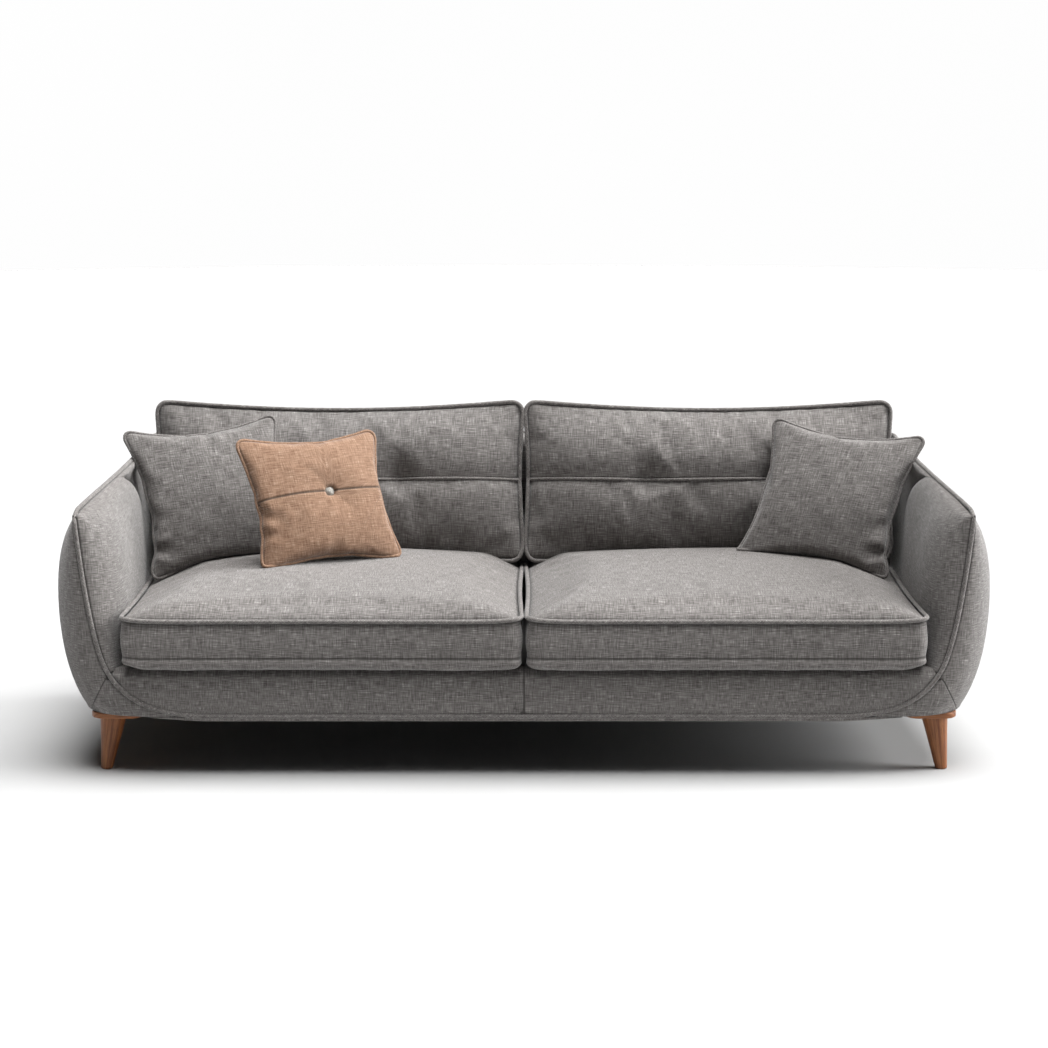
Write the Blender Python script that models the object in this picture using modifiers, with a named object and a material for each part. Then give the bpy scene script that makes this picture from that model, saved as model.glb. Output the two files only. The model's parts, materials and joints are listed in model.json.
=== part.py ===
"""A two-seat-cushion upholstered sofa on four turned wooden legs, with three loose scatter cushions.

Metres, +Z up. The origin is on the floor under the middle of the sofa. The front faces -Y, and +X is the
right-hand side of someone looking at the front. Everything that is made twice is made by a loop over SIDES.
"""

from math import cos, pi, radians, sin, tan

import bmesh
import bpy
import numpy as np
from mathutils import Matrix, Vector
from mathutils.bvhtree import BVHTree

# ---- Driving dimensions ----------------------------------------------------------------------------------
WIDTH = 2.30                # over the widest part of the arms
DEPTH = 0.95                # from the seat cushions' front to the outer back
LEG_HEIGHT = 0.134
LEG_TOP_RADIUS = 0.033
LEG_FOOT_RADIUS = 0.0145
LEG_SPLAY = 0.0185          # how far a foot stands outside its top, along X
LEG_SPLAY_DEPTH = 0.014     # the same along Y
LEG_TOP_IN = 0.143          # from the widest part of the arm to the middle of the leg's top
LEG_TOP_BACK = 0.130        # from the sofa's front or rear to the middle of the leg's top
PLATE_SIZE = (0.127, 0.110)
PLATE_THICKNESS = 0.015
PLATE_CORNER = 0.035
PLATE_SHIFT = 0.014         # the plate reaches further in than out
BOLT_RADIUS = 0.004
BOLT_LENGTH = 0.080
BOLT_IN_LEG = 0.030
BORE_CLEARANCE = 0.0004
TOUCH = 0.0003              # the gap kept between pieces that rest on each other
CUSHION_TOUCH = 0.0007      # the same for a cushion's rounded edge on a crowned seat

ARM_WIDTH = 0.174           # inner face to the widest part
ARM_REAR_TUCK = 0.030       # how much narrower each side is at the rear
SHOULDER_RISE = 0.4844      # underside of the body to the top front corner of the arm
ARM_REAR_RISE = 0.5654      # underside of the body to the top of the arm's rear and of the back
BASE_HEIGHT = 0.113         # underside of the body to the top of the seat deck
DECK_THICKNESS = 0.0192
RAIL_HEIGHT = 0.073
RAIL_THICKNESS = 0.025
SIDE_RAIL_THICKNESS = 0.018
REAR_SEAT_RAIL_THICKNESS = 0.036
DUST_COVER_THICKNESS = 0.002
BLOCK_HEIGHT = 0.052
BLOCK_LENGTH = 0.105
BLOCK_FROM_LEG = 0.076      # middle of the leg's top to the corner block's inner end
SIDE_RAIL_FROM_LEG = 0.015
PLY = 0.018
COVER = 0.011               # outer covers, with their wadding
PAD = 0.026                 # inner arm, wing and back pads
FRONT_PAD = 0.020
PIPING_RADIUS = 0.0042
PIPING_ROOM = 0.0062        # piping centre line to the edge of the panels it joins
BACK_PIPING_IN = 0.006      # the back's piping centre line to the sofa's rear
THIN_EDGE = 0.25            # share of a pad's thickness left at an edge that meets the piping
THIN_NEXT = 0.75

SEAT_CUSHION_EDGE = 0.120   # deck to the upper piping
SEAT_CROWN = 0.076
SEAT_GAP = 0.004            # half the gap between the seat cushions
SIDE_GAP = 0.006            # cushion to arm
SEAT_CUSHION_REAR = 0.190   # seat cushion's rear edge to the sofa's rear
BACK_LEAN = radians(12)
BACK_CUSHION_HEIGHT = 0.391
BACK_CUSHION_THICKNESS = 0.165
SCATTER_THICKNESS = 0.115
TAN_THICKNESS = 0.100
BUTTON_RADIUS = 0.011

SPRING_WIRE = 0.0019
SPRING_SWING = 0.030
SPRING_PITCH = 0.090
SPRING_RISE = 0.006
SPRING_PLACES = (0.17, 0.50, 0.83)  # shares of the inner half width
STRAP_HEIGHT = 0.050
STRAP_THICKNESS = 0.002
STRAP_PLACES = (0.158, 0.298)       # heights of the back straps above the deck
POST_SECTION = (0.045, 0.034)
TOP_RAIL_HEIGHT = 0.024

# ---- Sizes worked out from them ---------------------------------------------------------------------------
SIDES = (("left", -1), ("right", 1))
FRONT = -DEPTH / 2
REAR = DEPTH / 2
OUTER = WIDTH / 2
INNER = OUTER - ARM_WIDTH
PLATE_TOP = LEG_HEIGHT + TOUCH + PLATE_THICKNESS
BODY_BOTTOM = PLATE_TOP + TOUCH
SHOULDER_HEIGHT = BODY_BOTTOM + SHOULDER_RISE
ARM_REAR_HEIGHT = BODY_BOTTOM + ARM_REAR_RISE
DUST_TOP = BODY_BOTTOM + DUST_COVER_THICKNESS
RAIL_BOTTOM = DUST_TOP + TOUCH
RAIL_TOP = RAIL_BOTTOM + RAIL_HEIGHT
DECK_TOP = BODY_BOTTOM + BASE_HEIGHT
CUSHION_BOTTOM = DECK_TOP + TOUCH
FACE = FRONT + 0.036        # the front face of the body, behind the seat cushions' front
RAIL_FRONT = FACE + FRONT_PAD + TOUCH
RAIL_BACK = RAIL_FRONT + RAIL_THICKNESS
LEG_X = OUTER - LEG_TOP_IN
SIDE_RAIL_IN = LEG_X + SIDE_RAIL_FROM_LEG
BLOCK_IN = LEG_X - BLOCK_FROM_LEG
WIDEST_AT = FRONT + 0.275   # where along Y the arm is widest
CORNER_AT = REAR - 0.095    # where the rear corner's curve starts
BACK_FOOT = REAR - 0.190    # front face of the back pad at the deck


def back_face(z):
    """Y of the back pad's front face at height z."""
    return BACK_FOOT + (z - DECK_TOP) * tan(BACK_LEAN)


# ---- Materials --------------------------------------------------------------------------------------------
def material(name, colour, roughness, metallic=0.0):
    made = bpy.data.materials.new(name)
    made.use_nodes = True
    shader = made.node_tree.nodes["Principled BSDF"]
    shader.inputs["Base Color"].default_value = (*colour, 1)
    shader.inputs["Roughness"].default_value = roughness
    shader.inputs["Metallic"].default_value = metallic
    return made


def make_materials():
    return {
        "grey_fabric": material("grey_fabric", (0.19, 0.18, 0.175), 0.95),
        "tan_fabric": material("tan_fabric", (0.52, 0.29, 0.17), 0.95),
        "button_fabric": material("button_fabric", (0.42, 0.39, 0.36), 0.9),
        "leg_wood": material("leg_wood", (0.36, 0.14, 0.05), 0.45),
        "frame_wood": material("frame_wood", (0.60, 0.45, 0.28), 0.7),
        "spring_steel": material("spring_steel", (0.45, 0.45, 0.47), 0.35, 1.0),
        "lining": material("lining", (0.03, 0.03, 0.03), 0.95),
        "webbing": material("webbing", (0.10, 0.09, 0.08), 0.9),
    }


# ---- Building blocks --------------------------------------------------------------------------------------
class Workshop:
    """Holds the collections and materials, and links each new object to them."""

    def __init__(self):
        for obj in list(bpy.data.objects):
            bpy.data.objects.remove(obj)
        self.materials = make_materials()
        self.parts = self.collection("sofa")
        self.cutters = self.collection("cutters")

    @staticmethod
    def collection(name):
        made = bpy.data.collections.new(name)
        bpy.context.scene.collection.children.link(made)
        return made

    def add(self, name, data, finish, matrix=None):
        obj = bpy.data.objects.new(name, data)
        self.parts.objects.link(obj)
        data.materials.append(self.materials[finish])
        if matrix is not None:
            obj.matrix_world = matrix
        return obj


def mesh_of(name, bm):
    bmesh.ops.recalc_face_normals(bm, faces=bm.faces)
    mesh = bpy.data.meshes.new(name)
    bm.to_mesh(mesh)
    bm.free()
    return mesh


def bevel(obj, width, segments=1):
    modifier = obj.modifiers.new("rounded_edges", "BEVEL")
    modifier.width = width
    modifier.segments = segments
    modifier.limit_method = "ANGLE"
    modifier.angle_limit = radians(40)


def box(shop, name, low, high, finish, rounded=0.0):
    """A box between two corners, with its origin in its middle."""
    low, high = Vector(low), Vector(high)
    bm = bmesh.new()
    bmesh.ops.create_cube(bm, size=1)
    bmesh.ops.scale(bm, vec=high - low, verts=bm.verts)
    obj = shop.add(name, mesh_of(name, bm), finish, Matrix.Translation((low + high) / 2))
    if rounded:
        bevel(obj, rounded)
    return obj


def cylinder_mesh(name, radius, length, segments, foot_radius=None):
    """A cylinder or cone about Z, from z 0 to its length."""
    bm = bmesh.new()
    bmesh.ops.create_cone(bm, cap_ends=True, segments=segments, depth=length,
                          radius1=radius if foot_radius is None else foot_radius, radius2=radius)
    bmesh.ops.translate(bm, vec=(0, 0, length / 2), verts=bm.verts)
    return mesh_of(name, bm)


def tube(shop, name, points, radius, finish, cyclic=False):
    """A cord or wire of six sides along the points."""
    curve = bpy.data.curves.new(name, "CURVE")
    curve.dimensions = "3D"
    curve.bevel_depth = radius
    curve.bevel_resolution = 1
    curve.use_fill_caps = not cyclic
    spline = curve.splines.new("POLY")
    spline.points.add(len(points) - 1)
    for point, place in zip(spline.points, points):
        point.co = (*place, 1)
    spline.use_cyclic_u = cyclic
    return shop.add(name, curve, finish)


def slab(shop, name, outline, thickness, finish, matrix):
    """A flat outline in its own XY plane, thickened both ways."""
    curve = bpy.data.curves.new(name, "CURVE")
    curve.dimensions = "2D"
    curve.fill_mode = "BOTH"
    curve.extrude = thickness / 2
    spline = curve.splines.new("POLY")
    spline.points.add(len(outline) - 1)
    for point, (x, y) in zip(spline.points, outline):
        point.co = (x, y, 0, 1)
    spline.use_cyclic_u = True
    return shop.add(name, curve, finish, matrix)


def sheet(shop, name, rows, thickness, finish, flip=False, thin=()):
    """An open surface through rows of points, thickened on its inner side.

    thin names the edges where it thins out: "first" and "last" are rows, "low" and "high" are columns.
    """
    rows = np.asarray(rows)
    down, across = rows.shape[:2]
    weights = np.ones((down, across))
    for step, weight in ((0, THIN_EDGE), (1, THIN_NEXT)):
        for edge, cells in (("first", weights[step]), ("last", weights[-1 - step]),
                            ("low", weights[:, step]), ("high", weights[:, -1 - step])):
            if edge in thin:
                np.minimum(cells, weight, out=cells)
    faces = []
    for i in range(down - 1):
        for j in range(across - 1):
            a = i * across + j
            face = (a, a + 1, a + across + 1, a + across)
            faces.append(face[::-1] if flip else face)
    mesh = bpy.data.meshes.new(name)
    mesh.from_pydata(rows.reshape(-1, 3).tolist(), [], faces)
    obj = shop.add(name, mesh, finish)
    group = obj.vertex_groups.new(name="thickness")
    for index, weight in enumerate(weights.ravel()):
        group.add([index], weight, "REPLACE")
    modifier = obj.modifiers.new("thickness", "SOLIDIFY")
    modifier.vertex_group = group.name
    modifier.thickness = thickness
    modifier.offset = -1
    modifier.use_even_offset = True
    return obj


def as_mesh(shop, obj):
    """The object as a plain mesh, so that a Boolean can cut it."""
    bpy.context.view_layer.update()
    graph = bpy.context.evaluated_depsgraph_get()
    mesh = bpy.data.meshes.new_from_object(obj.evaluated_get(graph))
    bm = bmesh.new()
    bm.from_mesh(mesh)
    bmesh.ops.remove_doubles(bm, verts=bm.verts, dist=1e-5)
    bm.to_mesh(mesh)
    bm.free()
    name, matrix = obj.name, obj.matrix_world.copy()
    bpy.data.objects.remove(obj)
    made = bpy.data.objects.new(name, mesh)
    shop.parts.objects.link(made)
    made.matrix_world = matrix
    return made


def cut(obj, cutter):
    modifier = obj.modifiers.new("bore", "BOOLEAN")
    modifier.operation = "DIFFERENCE"
    modifier.object = cutter


def soft_box(name, shape, counts):
    """A closed form made from a cube cut into counts cells, with shape(a, b, c) giving each point."""
    bm = bmesh.new()
    bmesh.ops.create_cube(bm, size=2)
    for axis, count in enumerate(counts):
        for k in range(1, count):
            place, normal = [0.0, 0.0, 0.0], [0.0, 0.0, 0.0]
            place[axis], normal[axis] = -1 + 2 * k / count, 1.0
            bmesh.ops.bisect_plane(bm, geom=bm.verts[:] + bm.edges[:] + bm.faces[:],
                                   plane_co=place, plane_no=normal)
    for vert in bm.verts:
        vert.co = shape(*vert.co)
    return mesh_of(name, bm)


def bezier(points, t):
    """A point, or rows of points, on the cubic curve with these four control points."""
    t = np.asarray(t, float)[..., None]
    p0, p1, p2, p3 = (np.asarray(p, float) for p in points)
    return (1 - t) ** 3 * p0 + 3 * (1 - t) ** 2 * t * p1 + 3 * (1 - t) * t ** 2 * p2 + t ** 3 * p3


# ---- The lines and surfaces that the upholstery follows ----------------------------------------------------
PIPING_LOW = BODY_BOTTOM + 0.0015
CORNER_CURVE = ((INNER - 0.216, PIPING_LOW), (INNER - 0.076, PIPING_LOW),
                (INNER - 0.001, PIPING_LOW + 0.045), (INNER + 0.034, PIPING_LOW + 0.120))
SIDE_CURVE = ((INNER + 0.034, PIPING_LOW + 0.120), (INNER + 0.064, PIPING_LOW + 0.184),
              (INNER + 0.086, SHOULDER_HEIGHT - 0.134), (INNER + 0.099, SHOULDER_HEIGHT))
TOP_CURVE = ((INNER + 0.099, FACE + 0.022, SHOULDER_HEIGHT + 0.008),
             (INNER + 0.070, FACE + 0.170, SHOULDER_HEIGHT + 0.045),
             (INNER + 0.030, FACE + 0.390, ARM_REAR_HEIGHT - 0.010),
             (INNER + 0.024, REAR - 0.075, ARM_REAR_HEIGHT))
FRONT_LINE = np.vstack([bezier(CORNER_CURVE, np.linspace(0, 1, 40))[:-1],
                        bezier(SIDE_CURVE, np.linspace(0, 1, 40))])
TOP_LINE = bezier(TOP_CURVE, np.linspace(0, 1, 60))


def front_line_x(z):
    """Distance from the middle of the front piping at height z."""
    return float(np.interp(z, FRONT_LINE[:, 1], FRONT_LINE[:, 0]))


def top_line(y):
    """(x, z) of the piping on top of the arm at this place along Y."""
    return tuple(float(np.interp(y, TOP_LINE[:, 1], TOP_LINE[:, k])) for k in (0, 2))


def swell_at(share):
    """How far the outer side swells out at this share of its height."""
    return (1 - (1 - share) ** 3.4) * (1 - share ** 8)


def side_profile(y, share):
    """(x, z) of the outer side at this Y, share running from the bottom edge to the top piping."""
    along = np.clip((y - WIDEST_AT) / (CORNER_AT - WIDEST_AT), 0, 1)
    foot = OUTER - 0.065 - 0.035 * along
    x_top, z_top = top_line(y)
    widest = OUTER - ARM_REAR_TUCK * along
    bulge = min((widest - foot - (x_top - foot) * s) / swell_at(s) for s in np.linspace(0.3, 0.7, 21))
    return foot + (x_top - foot) * share + bulge * swell_at(share), BODY_BOTTOM + (z_top - BODY_BOTTOM) * share


def rear_y(share):
    """Y of the outer back's surface, from the bottom edge to the top."""
    return REAR - 0.030 * (1 - share) ** 1.5


def outer_side_rows(counts, room):
    """Rows of points on the outer side cover, from the front piping round to the rear corner."""
    rows = []
    shares = np.linspace(0, 1, counts[1]) ** 1.4
    for k in np.linspace(0, 1, counts[0][0]):
        angle = k * pi / 2
        row = []
        for share in shares:
            x_side, z_side = side_profile(WIDEST_AT, share)
            z_front = BODY_BOTTOM + (SHOULDER_HEIGHT - BODY_BOTTOM) * share
            x_front = max(front_line_x(z_front), INNER - 0.065) + room + 0.0030
            power = 2 / (2 + 2.5 * (1 - share) ** 3)
            across = sin(angle) ** power
            y = WIDEST_AT + (FACE - WIDEST_AT) * cos(angle) ** power
            x = x_front + (x_side - x_front) * across
            z = z_front + (z_side - z_front) * k
            x_top, z_top = top_line(y)
            pull = share ** 5
            top_gap = ((x_top + room * 0.3) * (1 - (1 - k) ** 3) + x_front * (1 - k) ** 3,
                       (z_top - room) * (1 - (1 - k) ** 3) + z_front * (1 - k) ** 3)
            x_edge = front_line_x(SHOULDER_HEIGHT) + room
            x_edge += (side_profile(WIDEST_AT, 1.0)[0] - x_edge) * across
            z_edge = SHOULDER_HEIGHT + (side_profile(WIDEST_AT, 1.0)[1] - SHOULDER_HEIGHT) * k
            row.append((x + (top_gap[0] - x_edge) * pull, y, z + (top_gap[1] - z_edge) * pull))
        rows.append(row)
    for y in np.linspace(WIDEST_AT, CORNER_AT, counts[0][1])[1:]:
        row = []
        for share in shares:
            x, z = side_profile(y, share)
            row.append((x + room * 0.3 * share ** 5, y, z - room * share))
        rows.append(row)
    for k in np.linspace(0, 1, counts[0][2])[1:]:
        angle = k * pi / 2
        row = []
        for share in shares:
            x, z = side_profile(CORNER_AT, share)
            inward = 0.075 * (1 - cos(angle))
            y = CORNER_AT + (rear_y(share) - CORNER_AT) * sin(angle)
            row.append((x - inward + room * 0.3 * share ** 5, y, z - room * share))
        rows.append(row)
    return np.array(rows)


def arm_section(y, share, rise_from):
    """(x, z) of the inner arm at this Y: up the inner face and over to the top piping."""
    x_top, z_top = top_line(y)
    x_top -= PIPING_ROOM
    z_top -= 0.3 * PIPING_ROOM
    angle = share * pi / 2
    z_turn = DECK_TOP + 0.110
    if share < rise_from:
        return INNER, CUSHION_BOTTOM + TOUCH + (z_turn - CUSHION_BOTTOM) * share / rise_from
    angle = (share - rise_from) / (1 - rise_from) * pi / 2
    return x_top - (x_top - INNER) * cos(angle) ** 0.75, z_turn + (z_top - z_turn) * sin(angle) ** 0.9


def inner_arm_rows(counts):
    """Rows of points on the inner arm pad, from the front piping round to its inner face and back."""
    turn = FACE + 0.135
    rise_from = 0.3
    rows = []
    shares = np.linspace(0, 1, counts[2])
    for k in np.linspace(0, 1, counts[0]):
        angle = k * pi / 2
        y = turn + (FACE - turn) * cos(angle)
        row = []
        for share in shares:
            x, z = arm_section(y, share, rise_from)
            z_front = z + (min(z, SHOULDER_HEIGHT - 0.010) - z) * (1 - k)
            x_front = front_line_x(z_front) - PIPING_ROOM
            row.append((x + (x_front - x) * (1 - sin(angle)), y, z_front))
        rows.append(row)
    for y in np.linspace(turn, BACK_FOOT - 0.085, counts[1])[1:]:
        rows.append([(arm_section(y, share, rise_from)[0], y, arm_section(y, share, rise_from)[1])
                     for share in shares])
    return np.array(rows)


def mirrored(rows, side):
    rows = np.array(rows, float)
    rows[..., 0] *= side
    return rows


# ---- Legs -------------------------------------------------------------------------------------------------
def rounded_rectangle(size_x, size_y, radius, steps=5):
    outline = []
    for k, (sx, sy) in enumerate(((1, 1), (-1, 1), (-1, -1), (1, -1))):
        centre = (sx * (size_x / 2 - radius), sy * (size_y / 2 - radius))
        for step in range(steps + 1):
            angle = k * pi / 2 + step / steps * pi / 2
            outline.append((centre[0] + radius * cos(angle), centre[1] + radius * sin(angle)))
    return outline


def make_leg(shop, place, side, end):
    """One splayed leg with its plate, corner block and hanger bolt. end is -1 at the front, 1 at the rear."""
    top = Vector((side * LEG_X, end * (DEPTH / 2 - LEG_TOP_BACK), LEG_HEIGHT))
    bore_mesh = cylinder_mesh("bore_" + place, BOLT_RADIUS + BORE_CLEARANCE, BOLT_LENGTH + 0.02, 12)
    bore = bpy.data.objects.new("bore_" + place, bore_mesh)
    shop.cutters.objects.link(bore)
    bore.location = (top.x, top.y, LEG_HEIGHT - BOLT_IN_LEG)
    bore.hide_render = True
    bore.display_type = "WIRE"

    leg_mesh = cylinder_mesh("leg_" + place, LEG_TOP_RADIUS, LEG_HEIGHT, 28, LEG_FOOT_RADIUS)
    for vert in leg_mesh.vertices:
        lean = 1 - vert.co.z / LEG_HEIGHT
        vert.co.x += side * LEG_SPLAY * lean
        vert.co.y += end * LEG_SPLAY_DEPTH * lean
    leg = shop.add("leg_" + place, leg_mesh, "leg_wood", Matrix.Translation((top.x, top.y, 0)))
    bevel(leg, 0.0018)
    cut(leg, bore)

    plate_middle = (top.x - side * PLATE_SHIFT, top.y, LEG_HEIGHT + TOUCH + PLATE_THICKNESS / 2)
    plate = slab(shop, "leg_plate_" + place, rounded_rectangle(*PLATE_SIZE, PLATE_CORNER),
                 PLATE_THICKNESS, "leg_wood", Matrix.Translation(plate_middle))
    cut(as_mesh(shop, plate), bore)

    inner_y = end * (abs(RAIL_BACK) - TOUCH)
    xs = sorted((side * BLOCK_IN, side * (SIDE_RAIL_IN - TOUCH)))
    ys = sorted((inner_y, inner_y - end * BLOCK_LENGTH))
    block = box(shop, "corner_block_" + place,
                (xs[0], ys[0], BODY_BOTTOM), (xs[1], ys[1], BODY_BOTTOM + BLOCK_HEIGHT), "frame_wood")
    cut(block, bore)

    bolt_mesh = cylinder_mesh("hanger_bolt_" + place, BOLT_RADIUS, BOLT_LENGTH, 12)
    shop.add("hanger_bolt_" + place, bolt_mesh, "spring_steel",
             Matrix.Translation((top.x, top.y, LEG_HEIGHT - BOLT_IN_LEG + TOUCH)))


# ---- Frame ------------------------------------------------------------------------------------------------
def make_base(shop):
    rail_half = BLOCK_IN + 0.019
    box(shop, "front_rail", (-rail_half, RAIL_FRONT, RAIL_BOTTOM), (rail_half, RAIL_BACK, RAIL_TOP), "frame_wood")
    box(shop, "rear_rail", (-rail_half, -RAIL_BACK, RAIL_BOTTOM), (rail_half, -RAIL_FRONT, RAIL_TOP), "frame_wood")
    seat_rail_half = BLOCK_IN - TOUCH
    seat_rail_y = post_foot_y() - POST_SECTION[1] / 2
    box(shop, "rear_seat_rail", (-seat_rail_half, seat_rail_y, RAIL_BOTTOM),
        (seat_rail_half, seat_rail_y + REAR_SEAT_RAIL_THICKNESS, RAIL_TOP), "frame_wood")
    for name, side in SIDES:
        xs = sorted((side * SIDE_RAIL_IN, side * (SIDE_RAIL_IN + SIDE_RAIL_THICKNESS)))
        end = abs(RAIL_BACK) - 0.025
        box(shop, "side_rail_" + name, (xs[0], -end, RAIL_BOTTOM), (xs[1], end, RAIL_TOP), "frame_wood")
    box(shop, "centre_rail", (-RAIL_THICKNESS / 2, RAIL_BACK + TOUCH, RAIL_BOTTOM),
        (RAIL_THICKNESS / 2, seat_rail_y - TOUCH, RAIL_TOP - 0.020), "frame_wood")
    dust_half = min(BLOCK_IN, LEG_X - PLATE_SHIFT - PLATE_SIZE[0] / 2) - 0.005
    box(shop, "dust_cover", (-dust_half, RAIL_FRONT, BODY_BOTTOM),
        (dust_half, -RAIL_FRONT, DUST_TOP), "lining")


def make_springs(shop):
    """Serpentine springs from the front rail to the rear seat rail, slightly arched."""
    start = (RAIL_FRONT + RAIL_BACK) / 2
    end = post_foot_y() + 0.004 - POST_SECTION[1] / 2 - SPRING_WIRE * 2
    loops = max(2, round((end - start) / SPRING_PITCH))
    corner = 0.28
    for name, side in SIDES:
        for number, share in enumerate(SPRING_PLACES, 1):
            points = []
            for k in range(loops * 2):
                swing = SPRING_SWING if k % 2 else -SPRING_SWING
                for part, reach in ((corner / 2, 0.6), (0.5, 1.0), (1 - corner / 2, 0.6)):
                    run = (k + part) / (loops * 2)
                    rise = SPRING_RISE * sin(pi * run)
                    points.append((side * share * INNER + swing * reach, start + (end - start) * run,
                                   RAIL_TOP + SPRING_WIRE + TOUCH + rise))
            tube(shop, f"seat_spring_{name}_{number}", points, SPRING_WIRE, "spring_steel")


def post_foot_y():
    """Y of the middle of a back post where it stands on the rear seat rail."""
    return back_face(RAIL_TOP) + (PAD + STRAP_THICKNESS + 4 * TOUCH) / cos(BACK_LEAN) + POST_SECTION[1] / 2


def leaning_box(shop, name, x_low, x_high, back_low, back_high, z_low, z_high, finish):
    """A piece that leans with the back, its faces back_low and back_high behind the back pad's front face."""
    bm = bmesh.new()
    bmesh.ops.create_cube(bm, size=1)
    for vert in bm.verts:
        x = x_high if vert.co.x > 0 else x_low
        z = z_high if vert.co.z > 0 else z_low
        behind = (back_high if vert.co.y > 0 else back_low) / cos(BACK_LEAN)
        vert.co = (x, back_face(z) + behind, z)
    return shop.add(name, mesh_of(name, bm), finish)


def make_back_frame(shop):
    behind = PAD + STRAP_THICKNESS + 3 * TOUCH
    post_top = ARM_REAR_HEIGHT - PAD - TOP_RAIL_HEIGHT - 3 * TOUCH
    post_at = BLOCK_IN - POST_SECTION[0] / 2 - 0.004
    places = (("left", -post_at), ("centre", 0.0), ("right", post_at))
    for name, x in places:
        leaning_box(shop, "back_post_" + name, x - POST_SECTION[0] / 2, x + POST_SECTION[0] / 2,
                    behind, behind + POST_SECTION[1] * cos(BACK_LEAN), RAIL_TOP + TOUCH, post_top, "frame_wood")
    rail_y = back_face(post_top) + behind / cos(BACK_LEAN) + 0.006
    rail_half = INNER - 0.002
    box(shop, "back_top_rail", (-rail_half, rail_y, post_top + TOUCH),
        (rail_half, rail_y + 0.036, post_top + TOUCH + TOP_RAIL_HEIGHT), "frame_wood")
    strap_half = INNER - 0.005
    for number, z in enumerate((DECK_TOP + rise for rise in STRAP_PLACES), 1):
        leaning_box(shop, f"back_strap_{number}", -strap_half, strap_half, PAD + TOUCH,
                    PAD + TOUCH + STRAP_THICKNESS, z - STRAP_HEIGHT / 2, z + STRAP_HEIGHT / 2, "webbing")


def make_arm_frame(shop, name, side):
    """The plywood panel that gives the arm its outline, and the post that stiffens its front."""
    panel_in = SIDE_RAIL_IN + 0.003
    front, rear = FACE + 0.045, REAR - 0.080
    outline = [(front, RAIL_TOP + TOUCH), (rear, RAIL_TOP + TOUCH), (rear, ARM_REAR_HEIGHT - 0.160),
               (front + 0.30, SHOULDER_HEIGHT - 0.060), (front + 0.14, SHOULDER_HEIGHT - 0.120),
               (front, SHOULDER_HEIGHT - 0.215)]
    turned = Matrix(((0, 0, 1, side * (panel_in + PLY / 2)), (1, 0, 0, 0), (0, 1, 0, 0), (0, 0, 0, 1)))
    slab(shop, "arm_panel_" + name, outline, PLY, "frame_wood", turned)
    post_in = panel_in + PLY + TOUCH
    xs = sorted((side * post_in, side * (post_in + 0.024)))
    box(shop, "arm_post_" + name, (xs[0], front + 0.006, RAIL_TOP + TOUCH),
        (xs[1], front + 0.044, SHOULDER_HEIGHT - 0.215), "frame_wood")


# ---- Upholstery -------------------------------------------------------------------------------------------
def make_front_cover(shop):
    """The padded front panel, whose lower corners follow the piping, and the border under the piping."""
    zs = np.linspace(PIPING_LOW + 0.010, DECK_TOP, 9)
    low_x = front_line_x(PIPING_LOW + 0.004) - 0.070
    right = [(low_x, PIPING_LOW + PIPING_ROOM + 0.001)]
    right += [(front_line_x(z - 0.004) - PIPING_ROOM - 0.004, z) for z in zs]
    right[-1] = (INNER - 0.001, DECK_TOP)
    right[-2] = (min(right[-2][0], INNER + 0.014), right[-2][1])
    outline = right + [(-x, z) for x, z in reversed(right)]
    upright = Matrix(((1, 0, 0, 0), (0, 0, -1, FACE + FRONT_PAD / 2), (0, 1, 0, 0), (0, 0, 0, 1)))
    slab(shop, "front_cover", outline, FRONT_PAD, "grey_fabric", upright)
    border_half = INNER - 0.110
    box(shop, "front_border", (-border_half, FACE + 0.001, BODY_BOTTOM - 0.0105),
        (border_half, FACE + FRONT_PAD, PIPING_LOW - PIPING_RADIUS - TOUCH), "grey_fabric")
    box(shop, "seat_deck", (-INNER + 0.001, FACE + FRONT_PAD + TOUCH, DECK_TOP - DECK_THICKNESS),
        (INNER - 0.001, back_face(DECK_TOP) - TOUCH - 0.006, DECK_TOP), "lining")


def make_arm_covers(shop, name, side):
    outer = mirrored(outer_side_rows(((7, 7, 4), 11), PIPING_ROOM), side)
    sheet(shop, "outer_arm_cover_" + name, outer, COVER, "grey_fabric", flip=side > 0,
          thin=("first", "last", "high"))
    inner = mirrored(inner_arm_rows((6, 6, 10)), side)
    sheet(shop, "inner_arm_pad_" + name, inner, PAD, "grey_fabric", flip=side < 0, thin=("first", "high"))
    wing_rows = []
    start = BACK_FOOT - 0.085 + 2 * TOUCH
    for y in np.linspace(start, REAR - 0.092, 4):
        wing_rows.append([(arm_section(y, share, 0.3)[0], y, arm_section(y, share, 0.3)[1])
                          for share in np.linspace(0, 1, 10)])
    sheet(shop, "wing_pad_" + name, mirrored(wing_rows, side), PAD - 0.006, "grey_fabric", flip=side < 0,
          thin=("high",))


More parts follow.
